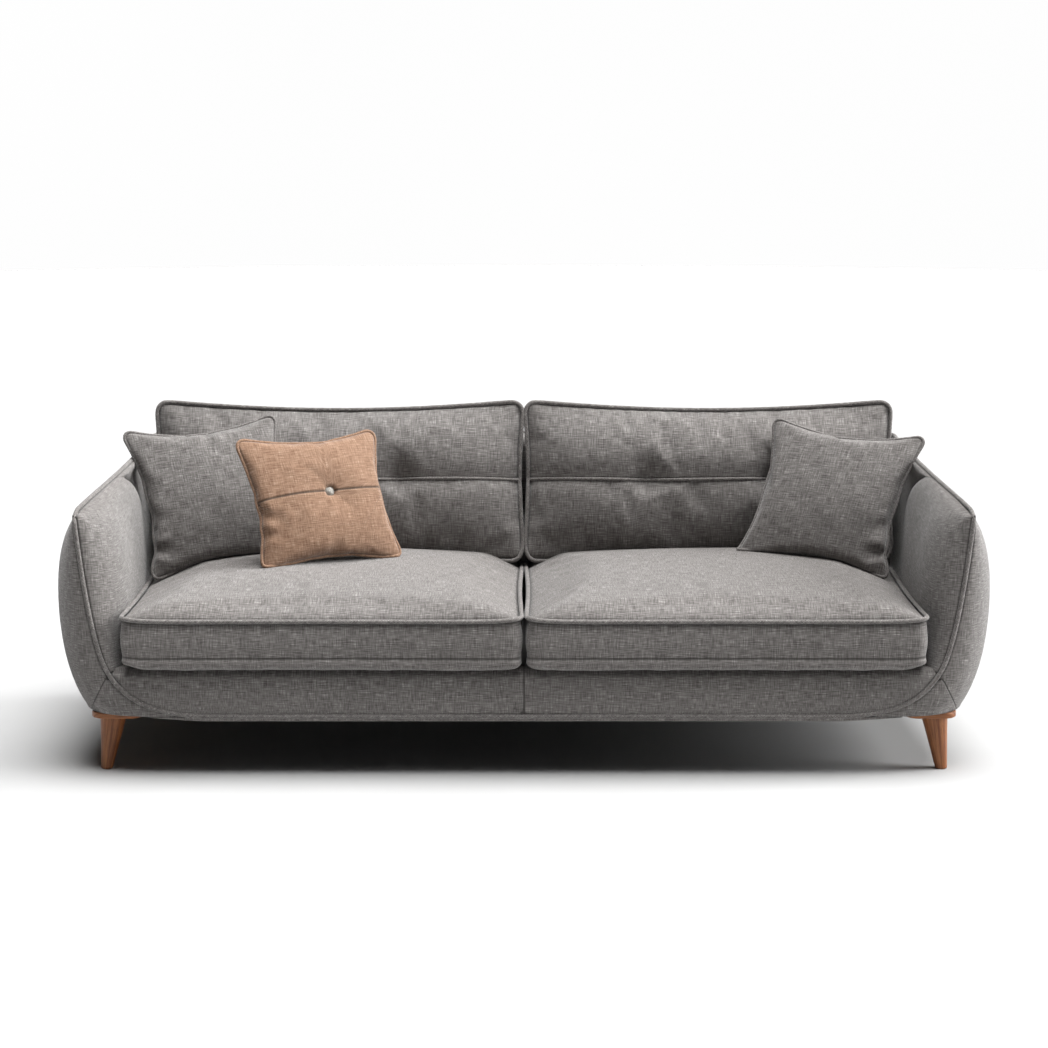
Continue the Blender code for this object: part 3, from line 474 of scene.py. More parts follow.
def outer_arm_points():
    """The outer side cover, from the front piping round the arm to the rear corner. Rows run along Y."""
    share = np.linspace(0, 1, 64)
    columns, room = [], PIPE_ROOM
    x_side, z_side = side_profile(WIDEST_AT, share)
    for k in np.linspace(0, 1, 34):
        angle = k * math.pi / 2
        z_front = BOTTOM + (SHOULDER - BOTTOM) * share
        x_front = np.maximum(front_x(z_front), INNER - 0.135) + room
        power = 2 / (2 + 1.1 * (1 - share) ** 3)
        across, back = math.sin(angle) ** power, math.cos(angle) ** power
        y = WIDEST_AT + (FACE - WIDEST_AT) * back
        x = x_front + (x_side - x_front) * across
        z = z_front + (z_side - z_front) * k
        x_top, z_top = top_xz(y)
        near = (1 - k) ** 3
        edge_x = x_front[-1] + (x_side[-1] - x_front[-1]) * across[-1]
        edge_z = SHOULDER + (z_side[-1] - SHOULDER) * k
        x += ((x_top + room * 0.3) * (1 - near) + x_front[-1] * near - edge_x) * share ** 5
        z += ((z_top - room) * (1 - near) + SHOULDER * near - edge_z) * share ** 5
        columns.append(np.stack([x, y, z], 1))
    for y in np.linspace(WIDEST_AT, CORNER_AT, 50)[1:]:
        x, z = side_profile(y, share)
        columns.append(np.stack([x + room * 0.3 * share ** 5, np.full(len(share), y), z - room * share], 1))
    for k in np.linspace(0, 1, 16)[1:]:
        angle = k * math.pi / 2
        x, z = side_profile(CORNER_AT, share)
        y = CORNER_AT + (rear_y(share) - CORNER_AT) * math.sin(angle)
        x = x - 0.075 * (1 - math.cos(angle)) + room * 0.3 * share ** 5
        columns.append(np.stack([x, y, z - room * share], 1))
    return np.array(columns).transpose(1, 0, 2)


EDGE_HIDES = 0.0025                  # the strip of a panel's edge that the piping hides


def from_edges(points, first_row=False, last_row=False, first_column=False, last_column=False):
    """Distance in metres from the named edges of a panel, less what the piping hides."""
    down = np.cumsum(np.linalg.norm(np.diff(points, axis=0, prepend=points[:1]), axis=2), 0)
    along = np.cumsum(np.linalg.norm(np.diff(points, axis=1, prepend=points[:, :1]), axis=2), 1)
    distance = np.full(points.shape[:2], 1.0)
    for wanted, value in ((first_row, down), (last_row, down[-1:] - down),
                          (first_column, along), (last_column, along[:, -1:] - along)):
        if wanted:
            distance = np.minimum(distance, value)
    return np.maximum(distance - EDGE_HIDES, 0)


def mitre_distance(points):
    """Signed distance in metres from the short diagonal seam at the arm's lower front corner."""
    x, z = points[..., 0], points[..., 2]
    start = np.array([INNER + 0.037, PIPE_LOW + 0.087])
    end = np.array([OUTER - 0.090, BOTTOM - 0.001])
    way = (end - start) / np.linalg.norm(end - start)
    distance = (x - start[0]) * way[1] - (z - start[1]) * way[0]
    far = points[..., 1] > FACE + 0.16
    return np.where(far, 1.0, distance)


def arm_section(y, share):
    """(x, z) arrays of the inner arm at this Y: up the inner face, then over to the top piping."""
    x_top, z_top = top_xz(y)
    x_top = x_top - PIPE_ROOM
    z_top = z_top - 0.3 * PIPE_ROOM
    rise, turn, base = 0.30, DECK + 0.110, DECK - 0.002
    angle = np.clip((share - rise) / (1 - rise), 0, 1) * math.pi / 2
    x = x_top - (x_top - INNER) * np.cos(angle) ** 0.75
    z = turn + (z_top - turn) * np.sin(angle) ** 0.9
    low = share < rise
    x = np.where(low, INNER, x)
    return x, np.where(low, base + (turn - base) * share / rise, z)


def inner_arm_points():
    """The padded inner arm, from the front piping back to the wing behind the back cushions."""
    turn = FACE + 0.150
    share = np.linspace(0, 1, 70)
    columns = []
    for k in np.linspace(0, 1, 34):
        angle = k * math.pi / 2
        y = turn + (FACE - turn) * math.cos(angle)
        x, z = arm_section(y, share)
        z = z + (np.minimum(z, SHOULDER - 0.004) - z) * (1 - k) ** 2
        x_front = front_x(z) - PIPE_ROOM
        x = x + (x_front - x) * (1 - math.sin(angle)) ** 1.15
        columns.append(np.stack([x, np.full(len(share), y), z], 1))
    for y in np.linspace(turn, REAR - 0.075, 70)[1:]:
        x, z = arm_section(y, share)
        columns.append(np.stack([x, np.full(len(share), y), z], 1))
    return plump(np.array(columns).transpose(1, 0, 2))


GROOVE_TOP = -0.165                  # Y of the groove's upper end
GROOVE_BACK, GROOVE_DROP = 0.225, 0.130    # how far it turns back and down from there


def past_groove(points):
    """How far each point lies behind the seam where the arm pad meets the wing."""
    below = np.clip((top_xz(points[..., 1])[1] - points[..., 2]) / GROOVE_DROP, 0, 1)
    return points[..., 1] - GROOVE_TOP - GROOVE_BACK * np.sqrt(1 - (1 - below) ** 2)


def plump(points):
    """Fills the arm pad out a little, and sinks the groove where it meets the wing."""
    x, y, z = points[..., 0], points[..., 1], points[..., 2]
    top = top_xz(y)[1]
    over = past_groove(points)
    edge = np.clip((z - DECK) / (top - DECK), 0, 1)
    fade = np.clip((top - z) / 0.045, 0, 1)
    fade *= np.clip((z - SEAT_LOW - 0.030) / 0.110, 0, 1)
    fade = fade * fade * (3 - 2 * fade)
    inside = np.clip(-over / 0.10, 0, 1)
    front_fade = np.clip((y - FACE) / 0.16, 0, 1)
    full = 0.009 * np.sin(edge * math.pi) * inside ** 0.5 * front_fade
    sunk = 0.032 * np.exp(-((over - 0.006) / 0.018) ** 2) + 0.020 / (1 + np.exp(-over / 0.008))
    soft = 0.0016 * waves(y, z, 5, 0.30) * front_fade
    points = points.copy()
    points[..., 0] = x - full + sunk * fade - soft * fade
    return points


def front_panel_points():
    """The padded cover over the front rail, whose lower corners follow the piping."""
    rows = []
    low, high = PIPE_LOW + PIPE_ROOM, DECK + 0.004
    for share in np.linspace(0, 1, 26):
        z = low + (high - low) * share
        half = float(front_x(z)) - PIPE_ROOM if z > PIPE_LOW + 0.004 else INNER - 0.150
        t = np.linspace(-1, 1, 121)
        x = min(half, INNER + 0.031) * t
        edge = np.minimum(1 - np.abs(t), 0.12) / 0.12
        belly = 0.006 * math.sin(math.pi * min(share * 1.02, 1)) ** 0.6 * edge ** 0.5
        roll = 0.024 * max(0, share - 0.82) ** 2 / 0.0324
        height = np.full(len(t), z)
        rows.append(np.stack([x, FACE - belly + roll + 0.0008 * waves(x, height, 9, 0.4), height], 1))
    flap = [rows[-1] + (0, back, -0.001 - 0.08 * back) for back in (0.008, 0.024, 0.050)]
    return np.array(rows + flap)


def body_line():
    """The cord's path over both arms and under the front."""
    corner = bezier(CORNER_CURVE, np.linspace(0, 1, 30))
    side = bezier(SIDE_CURVE, np.linspace(0, 0.965, 40))[1:]
    half = [(x, FACE, PIPE_LOW) for x in np.linspace(0, INNER - 0.216, 40)[:-1]]
    half += [(x, FACE, z) for x, z in corner] + [(x, FACE, z) for x, z in side]
    shoulder = np.array([half[-1], (INNER + 0.0992, FACE + 0.004, SHOULDER + 0.002), TOP_LINE[3]])
    half += [tuple(p) for p in bezier((shoulder[0], shoulder[0] + (0.0012, 0, 0.010), shoulder[2] -
                                       (-0.0010, 0.012, 0.004), shoulder[2]), np.linspace(0, 1, 9)[1:])]
    half += [tuple(p) for p in TOP_LINE[4:]]
    bend = bezier((half[-1], (INNER + 0.024, REAR - 0.030, ARM_REAR), (INNER + 0.006, REAR - 0.006, ARM_REAR),
                   (INNER - 0.052, REAR - 0.006, ARM_REAR)), np.linspace(0, 1, 12)[1:])
    half += [tuple(p) for p in bend]
    half += [(x, REAR - 0.006, ARM_REAR) for x in np.linspace(INNER - 0.052, 0.0, 30)[1:]]
    return np.array(half)


def build_body():
    made = []
    for name, side in SIDES:
        outer = outer_arm_points()
        seam = mitre_distance(outer) * 1.8
        edge = from_edges(outer, last_row=True, first_column=True)
        seam = np.where(edge < np.abs(seam), edge, seam)
        cover = sheet(f"outer_cover_{name}", mirrored(outer, side), "grey_seamed", flip=side < 0, thick=PANEL,
                      seam=seam, uv=wrap_uv(outer, WIDEST_AT, CORNER_AT, True))
        inner = inner_arm_points()
        # the seam attribute along this groove gives a painted shade line where the pad meets the wing
        groove = np.abs(past_groove(inner) - 0.010) * 0.45
        seam = np.minimum(from_edges(inner, last_row=True, first_column=True), groove)
        inner = mirrored(inner, side)
        pad = sheet(f"inner_arm_{name}", inner, "grey_seamed", flip=side > 0, thick=PANEL, seam=seam,
                    uv=wrap_uv(inner, FACE + 0.150, REAR, False))
        made += [(cover, [f"outer_arm_cover_{name}"]), (pad, [f"inner_arm_pad_{name}", f"wing_pad_{name}"])]
    front = front_panel_points()
    edge = from_edges(front, first_row=True, first_column=True, last_column=True)
    seam = np.where(edge < np.abs(front[..., 0]), edge, front[..., 0])
    made.append((sheet("front_panel", front, "grey_seamed", thick=PANEL, seam=seam), ["front_cover"]))
    path = body_line()
    whole = np.vstack([path, (path * (-1, 1, 1))[::-1][1:-1]])
    cord = tube("body_cord", smooth_path(whole, 900, True), PIPE, "grey_piping", closed=True)
    made.append((cord, ["body_piping", "back_piping"]))
    half = INNER - 0.060
    x = np.linspace(-half, half, 90)
    taper = np.clip((half - np.abs(x)) / 0.14, 0, 1) ** 0.7
    rows = [np.stack([x, np.full(len(x), FACE + 0.010 - 0.009 * math.cos(angle)),
                      PIPE_LOW - 0.0030 - 0.0118 * math.sin(angle) * taper], 1)
            for angle in np.linspace(0, math.pi, 9)]
    made.append((sheet("front_hem", rows, "grey", flip=True), ["front_border"]))
    for piece, nodes in made:
        declare(piece, nodes, "sofa_frame")
    build_back()


def build_back():
    """The inner back pad with its rolled top, and the outer back."""
    high = ARM_REAR - 0.3 * PIPE_ROOM
    roll = 0.030
    z_roll = high - roll + roll * math.sin(LEAN)
    middle = (back_face(z_roll) + roll * math.cos(LEAN), high - roll)
    path = [(back_face(z), z) for z in np.linspace(DECK, z_roll, 40)]
    path += [(middle[0] - roll * math.cos(a), middle[1] + roll * math.sin(a))
             for a in np.linspace(LEAN, math.pi / 2, 12)[1:]]
    path += [(y, high) for y in np.linspace(middle[0], REAR - 0.006 - PIPE_ROOM, 8)[1:]]
    t = np.linspace(-1, 1, 160)
    rows = []
    for k, (y, z) in enumerate(path):
        last = max(0.0, (k - len(path) + 8) / 7)
        x = t * (INNER + 0.006 - 0.050 * last ** 2)
        sag = 0.0012 * waves(x, np.full(len(t), z), 21, 0.35)
        rows.append(np.stack([x, y - sag, z + 0.6 * sag * (z > z_roll)], 1))
    inner = sheet("inner_back", rows, "grey", thick=PANEL)
    share = np.linspace(0, 1, 40)
    edge, z = side_profile(CORNER_AT, share)
    rows = []
    for s, x_edge, height in zip(share, edge - 0.075, z - PIPE_ROOM * share):
        belly = 0.004 * math.sin(math.pi * s) * (1 - t ** 4)
        rows.append(np.stack([t * x_edge, rear_y(s) + belly - 0.004, np.full(len(t), height)], 1))
    outer = np.array(rows)
    seam = np.abs(np.abs(outer[..., 0]) - np.abs(edge - 0.081)[:, None])
    back = sheet("outer_back", outer, "grey_seamed", flip=True, thick=PANEL, seam=seam)
    declare(inner, ["inner_back_pad"], "sofa_frame")
    declare(back, ["outer_back_cover"], "sofa_frame")


build_body()


# ---- Legs ----
LEG_FOOT, LEG_FLARE = 0.0145, 0.0185     # radius at the floor, and how much it grows to the top
LEG_EDGE = 0.0025                        # rounding of both ends
LEG_GRAIN = 0.026                        # radius at which the grain keeps its real width
LEG_TOP_IN, LEG_TOP_BACK = 0.143, 0.130  # middle of its top from the sofa's side, and from its front or rear
LEG_SPLAY = (0.0185, 0.014)              # how far its foot stands out, in X and Y
PLATE_EDGE = 0.003


def lathe(name, rings, material, segments=48):
    """A turned form through (centre x, centre y, z, radius) rings, both ends closed, its grain along it."""
    girth = 2 * math.pi * LEG_GRAIN
    points = [(cx + radius * math.cos(angle), cy + radius * math.sin(angle), z)
              for cx, cy, z, radius in rings for angle in 2 * math.pi * np.arange(segments) / segments]
    faces, corner = loft(len(rings), segments, arc_lengths(np.array(rings)[:, :3]), girth)
    ends = end_faces(len(rings), segments)
    corner = [(v, u) for u, v in corner] + [(points[v][0], points[v][1] * 0.2) for face in ends for v in face]
    return mesh_from(name, np.array(points), faces + ends, corner, material)


def rounded_outline(half_x, half_y, radius, steps=10):
    outline = []
    for k, (sx, sy) in enumerate(((1, 1), (-1, 1), (-1, -1), (1, -1))):
        for step in range(steps + 1):
            angle = (k + step / steps) * math.pi / 2
            outline.append((sx * (half_x - radius) + radius * math.cos(angle),
                            sy * (half_y - radius) + radius * math.sin(angle)))
    return np.array(outline)


def plate(name, low, high, material):
    """A wooden mounting plate with well-rounded corners and softened edges."""
    middle = (np.array(low) + np.array(high)) / 2
    half = (np.array(high) - np.array(low)) / 2
    low_z, high_z, soft = low[2], high[2], PLATE_EDGE
    rings = []
    for inset, z in ((0.020, low_z), (soft, low_z), (soft * 0.3, low_z + soft * 0.3), (0, low_z + soft),
                     (0, high_z - soft), (soft * 0.3, high_z - soft * 0.3), (soft, high_z), (0.020, high_z)):
        outline = rounded_outline(half[0] - inset, half[1] - inset, 0.035 - inset)
        rings.append(np.column_stack([outline + middle[:2], np.full(len(outline), z)]))
    points = np.vstack(rings)
    count = len(rings[0])
    faces = loft(len(rings), count, range(len(rings)), 1)[0] + end_faces(len(rings), count)
    corner = [(points[v][1] + points[v][2], points[v][0]) for face in faces for v in face]
    return mesh_from(name, points, faces, corner, material)


def build_legs():
    for side_name, side in SIDES:
        for end_name, end in (("front", -1), ("rear", 1)):
            place = f"{end_name}_{side_name}"
            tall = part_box("leg_" + place)[HIGH].z
            top_x, top_y = side * (OUTER - LEG_TOP_IN), end * (REAR - LEG_TOP_BACK)
            rings = []
            for k in np.linspace(0, 1, 40):
                z = k * tall
                radius = LEG_FOOT + LEG_FLARE * (k * 0.92 + 0.08 * k * k)
                edge = min(z, tall - z)
                if edge < LEG_EDGE:
                    radius -= LEG_EDGE - math.sqrt(max(0, LEG_EDGE ** 2 - (LEG_EDGE - edge) ** 2))
                x, y = top_x + side * LEG_SPLAY[0] * (1 - k), top_y + end * LEG_SPLAY[1] * (1 - k)
                rings.append((x, y, z, radius))
            leg = lathe("turned_leg_" + place, rings, "leg")
            base = plate("mounting_plate_" + place, *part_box("leg_plate_" + place), "leg")
            declare(leg, ["leg_" + place], "sofa_frame")
            declare(base, ["leg_plate_" + place], "sofa_frame")


build_legs()


def finish_hidden_frame():
    """The pieces inside keep their CAD shape and get real materials."""
    kinds = {"spring": "steel", "bolt": "steel", "strap": "webbing", "deck": "deck", "dust": "dust",
             "rail": "timber", "block": "timber", "panel": "timber", "post": "timber"}
    for name, node in frame["nodes"].items():
        for word, material in kinds.items():
            if word in name:
                node.data.materials.clear()
                node.data.materials.append(MATERIALS[material])


finish_hidden_frame()


# ---- Cushions ----
PIPE_HIDES = 0.0048                  # a seam beside the piping shows this far from its middle
CORD_STEP = 0.006                    # between the rings of a cushion's piping


def rounded_square(u, v, ru, rv):
    """Maps a square grid so that its corners become quarter ellipses."""
    p = np.clip((np.abs(u) - 1 + ru) / ru, 0, 1)
    q = np.clip((np.abs(v) - 1 + rv) / rv, 0, 1)
    x = np.sign(u) * (np.minimum(np.abs(u), 1 - ru) + ru * p * np.sqrt(1 - q * q / 2))
    y = np.sign(v) * (np.minimum(np.abs(v), 1 - rv) + rv * q * np.sqrt(1 - p * p / 2))
    return x, y


class Cushion:
    """A sewn form of two panels and, if rows is over 1, a boxing strip between: X across, Y up, Z out."""

    def __init__(self, half_x, half_y, corner, step, rows=1):
        self.nx = int(2 * half_x / step) // 2 * 2 + 1
        self.ny = int(2 * half_y / step) // 2 * 2 + 1
        self.rows, self.half_x, self.half_y = rows, half_x, half_y
        self.u, self.v = np.meshgrid(np.linspace(-1, 1, self.nx), np.linspace(-1, 1, self.ny))
        x, y = rounded_square(self.u, self.v, corner / half_x, corner / half_y)
        self.x, self.y = x * half_x, y * half_y
        nx, ny = self.nx, self.ny
        # the rim in order: along the lower edge, up the right, back along the upper and down the left
        rim = [(0, j) for j in range(nx)] + [(i, nx - 1) for i in range(1, ny)]
        rim += [(ny - 1, j) for j in range(nx - 2, -1, -1)] + [(i, 0) for i in range(ny - 2, 0, -1)]
        self.rim = tuple(np.array(rim).T)
        self.count = nx * ny
        self.around = len(rim)
        grid = np.arange(self.count).reshape(ny, nx)
        self.top_id = grid
        top_rim = grid[self.rim]
        self.bottom_id = grid + self.count
        if rows == 1:                       # the panels share their rim
            self.bottom_id[self.rim] = top_rim
            used, packed = np.unique(self.bottom_id, return_inverse=True)
            inner = np.cumsum(used >= self.count) - 1 + self.count
            self.bottom_id = np.where(used >= self.count, inner, used)[packed].reshape(ny, nx)
            self.strip_id = top_rim[None]
            self.total = 2 * self.count - self.around
        else:
            middle = 2 * self.count + np.arange((rows - 1) * self.around).reshape(rows - 1, self.around)
            self.strip_id = np.vstack([top_rim[None], middle, self.bottom_id[self.rim][None]])
            self.total = 2 * self.count + (rows - 1) * self.around

    def edge(self):
        """Each grid point's distance from the rim."""
        return np.minimum(self.half_x - np.abs(self.x), self.half_y - np.abs(self.y))

    def outward(self, x, y, power):
        """Unit directions out of the rim in the panel's plane."""
        out = np.stack([x / self.half_x, y / self.half_y], 1)
        out = np.sign(out) * np.abs(out) ** power
        return out / (np.linalg.norm(out, axis=1)[:, None] + 1e-9)

    def gather(self, top, bottom, strip=None):
        points = np.zeros((self.total, 3))
        points[self.bottom_id] = bottom
        if strip is not None:
            points[self.strip_id] = strip
        points[self.top_id] = top
        return points

    def faces(self):
        quads = []
        for ids, flip in ((self.top_id, False), (self.bottom_id, True)):
            a, b, c, d = ids[:-1, :-1], ids[:-1, 1:], ids[1:, 1:], ids[1:, :-1]
            quad = np.stack([a, b, c, d], -1).reshape(-1, 4)
            quads.append(quad[:, ::-1] if flip else quad)
        if self.rows > 1:
            s = self.strip_id
            nxt = np.roll(s, -1, 1)
            quads.append(np.stack([s[:-1], s[1:], nxt[1:], nxt[:-1]], -1).reshape(-1, 4))
        return np.vstack(quads)

    def corner_uv(self, points):
        parts = []
        for ids, flip in ((self.top_id, False), (self.bottom_id, True)):
            uv = grid_uv(points[ids])
            quad = np.stack([uv[:-1, :-1], uv[:-1, 1:], uv[1:, 1:], uv[1:, :-1]], 2).reshape(-1, 4, 2)
            parts.append(quad[:, ::-1] if flip else quad)
        if self.rows > 1:
            ring = points[self.strip_id]
            ring = np.concatenate([ring, ring[:, :1]], 1)
            along = arc_lengths(ring[0])
            down = np.concatenate([[0], np.cumsum(np.linalg.norm(np.diff(ring, axis=0), axis=2).mean(1))])
            uv = np.stack(np.meshgrid(along, -down), -1)
            parts.append(np.stack([uv[:-1, :-1], uv[1:, :-1], uv[1:, 1:], uv[:-1, 1:]], 2).reshape(-1, 4, 2))
        return np.vstack(parts).reshape(-1, 2)

    def make(self, name, points, material, matrix, seam):
        corner_uv = self.corner_uv(points)
        obj = mesh_from(name, to_world(points, matrix), self.faces().tolist(), corner_uv, material, seam)
        smooth = obj.modifiers.new("smooth", "SUBSURF")
        smooth.levels = smooth.render_levels = 1
        return obj


def to_world(points, matrix):
    return points @ np.array(matrix.to_3x3()).T + np.array(matrix.translation)


def inflate(form, points, pins, pressure, frames, cap, grow, stiffness=15.0, bending=0.5):
    """The points after Blender's cloth has puffed the sewn form up, each moved no further than the cap."""
    faces = form.faces()
    obj = mesh_from("simulated", points, faces.tolist(), np.zeros((faces.size, 2)), "grey")
    group = obj.vertex_groups.new(name="held")
    levels = np.round(pins, 2)
    for level in np.unique(levels[levels > 0]):
        group.add(np.nonzero(levels == level)[0].tolist(), float(level), "REPLACE")
    cloth = obj.modifiers.new("cloth", "CLOTH")
    settings = cloth.settings
    settings.vertex_group_mass = "held"
    settings.effector_weights.gravity = 0
    settings.use_pressure = True
    settings.uniform_pressure_force = pressure
    settings.tension_stiffness = settings.compression_stiffness = stiffness
    settings.shear_stiffness = stiffness / 3
    settings.bending_stiffness = bending
    settings.shrink_min = -grow
    settings.quality = 5
    settings.air_damping = 2
    cloth.collision_settings.use_collision = False
    cloth.point_cache.frame_start, cloth.point_cache.frame_end = 1, frames
    scene = bpy.context.scene
    for step in range(1, frames + 1):
        scene.frame_set(step)
    mesh = obj.evaluated_get(bpy.context.evaluated_depsgraph_get()).to_mesh()
    moved = np.empty(len(mesh.vertices) * 3, np.float32)
    mesh.vertices.foreach_get("co", moved)
    bpy.data.meshes.remove(obj.data)
    scene.frame_set(1)
    change = moved.reshape(-1, 3).astype(float) - points
    far = np.linalg.norm(change, axis=1)
    return points + change * (np.minimum(far, cap) / np.maximum(far, 1e-9))[:, None]


def finish_cushion(form, points, pad, piping, cad, matrix, seam, colour="grey", out=0.0, radius=PIPE):
    """Makes the pad and the piping round its rim. Both ride on the body that has the CAD cushion's name."""
    piece = form.make(pad, points, colour + "_seamed", matrix, seam)
    declare(piece, [cad], cad)
    path = to_world(points[form.strip_id[0]] + out, matrix)
    for _ in range(2):
        path = 0.5 * path + 0.25 * (np.roll(path, 1, 0) + np.roll(path, -1, 0))
    path = smooth_path(path, int(arc_lengths(path)[-1] / CORD_STEP), True)
    declare(tube(piping, path, radius, colour + "_piping", closed=True), [], cad)
    return piece


# ---- Seat cushions ----
SEAT_HALF = (INNER - 0.006 - SEAT_IN) / 2
SEAT_DEEP = (SEAT_REAR - FRONT) / 2
SEAT_EDGE = SEAT_LOW + 0.1275        # piping on the upper edge
SEAT_TUCK = 0.0045                   # how far the boxing stands behind the cushion's outline
SEAT_UNDER = 0.046                   # how far the underside does
SEAT_PROFILE = ((0.1275, -0.0045), (0.1180, -0.0032), (0.1040, -0.0014), (0.0880, -0.0006), (0.0700, -0.0008),
                (0.0530, -0.0022), (0.0365, -0.0048), (0.0300, -0.0014), (0.0215, -0.0010), (0.0150, -0.0060),
                (0.0100, -0.0160), (0.0055, -0.0280), (0.0, -0.0460))    # (height, offset) down the boxing
SEAM_ROW = 6                         # where the boxing and the bottom strip are sewn together


def seat_cushion(name, side, seed):
    half_x, half_y = SEAT_HALF, SEAT_DEEP
    form = Cushion(half_x, half_y, 0.022, 0.0125, rows=len(SEAT_PROFILE) - 1)
    u, v, rim, edge = form.u, form.v, form.rim, form.edge()
    pull_x = 0.005 * (1 - v ** 2) ** 2
    pull_y = 0.004 * (1 - u ** 2) ** 2
    x = form.x * (1 - (pull_x + SEAT_TUCK) / half_x)
    y = form.y * (1 - (pull_y + SEAT_TUCK) / half_y)
    from_end, from_side = half_y - np.abs(form.y), half_x - np.abs(form.x)
    back = v - 0.12 * (1 - v * v)
    crown = 0.032 * (1 - np.abs(u) ** 2.4) * (1 - np.abs(back) ** 2.5)
    crown += 0.007 * np.abs(u) ** 10 * (v < 0) * np.abs(v) ** 3
    roll = 0.025 * (1 - np.exp(-from_end / 0.0080)) * (1 - u ** 10)
    roll += 0.006 * (1 - np.exp(-from_side / 0.020)) * (1 - v ** 6)
    dent = 0.0022 * waves(x, y, seed, 0.34) * np.clip(edge / 0.12, 0, 1)
    bulge = 0.0055 * np.exp(-((from_end - 0.0125) / 0.008) ** 2) * np.sign(form.y)
    bulge[rim] = 0
    top = np.stack([x, y + bulge, SEAT_EDGE + crown + roll + dent], -1)
    under_x, under_y = form.x * (1 - SEAT_UNDER / half_x), form.y * (1 - SEAT_UNDER / half_y)
    bottom = np.stack([under_x, under_y, np.full_like(x, SEAT_LOW)], -1)
    outward = form.outward(form.x[rim], form.y[rim], 12)
    corner = np.clip((form.x[rim] * side / half_x - 0.88) / 0.12, 0, 1)
    corner = corner * np.clip(-form.y[rim] / half_y, 0, 1) ** 6
    outline = np.stack([x[rim], y[rim]], 1)
    strip = []
    for above, offset in SEAT_PROFILE:
        lift = 0.012 * corner ** 2 * max(0.0, 1 - above / 0.060)
        strip.append(np.column_stack([outline + outward * (offset + SEAT_TUCK), SEAT_LOW + above + lift]))
    strip[0], strip[-1] = top[rim], bottom[rim]
    points = form.gather(top, bottom, np.array(strip))
    points[form.strip_id[0], 2] -= 0.0030
    pins = np.zeros(form.total)
    pins[form.bottom_id] = pins[form.strip_id[0]] = 1
    pins[form.strip_id[SEAM_ROW]] = 0.97
    seam = np.full(form.total, 1.0)
    seam[form.top_id] = np.maximum(edge - PIPE_HIDES, 0)
    for row, (above, _) in zip(form.strip_id, SEAT_PROFILE):
        seam[row] = above - SEAT_PROFILE[SEAM_ROW][0]
    seam[form.strip_id[0]] = 0.0
    seam[form.strip_id[1]] = 0.0095 - PIPE_HIDES
    points = inflate(form, points, pins, 1.2, frames=16, cap=0.010, grow=0.010)
    matrix = Matrix.Translation((side * (SEAT_IN + half_x), (FRONT + SEAT_REAR) / 2, 0))
    out = np.column_stack([outward * 0.0032, np.full(form.around, 0.0042)])
    piece = finish_cushion(form, points, "seat_pad_" + name, "seat_piping_" + name, "seat_cushion_" + name,
                           matrix, seam, out=out)
    faces = [tuple(polygon.vertices) for polygon in piece.data.polygons]
    return BVHTree.FromPolygons([vertex.co for vertex in piece.data.vertices], faces)


# ---- Back cushions ----
BACK_LOW = SEAT_LOW + 0.156
BACK_TALL = 0.389
WELT_AT = 0.182                      # height of the piping across each cushion
DIMPLES = (-0.163, 0.165)            # where it is drawn in, from the cushion's middle towards the arm


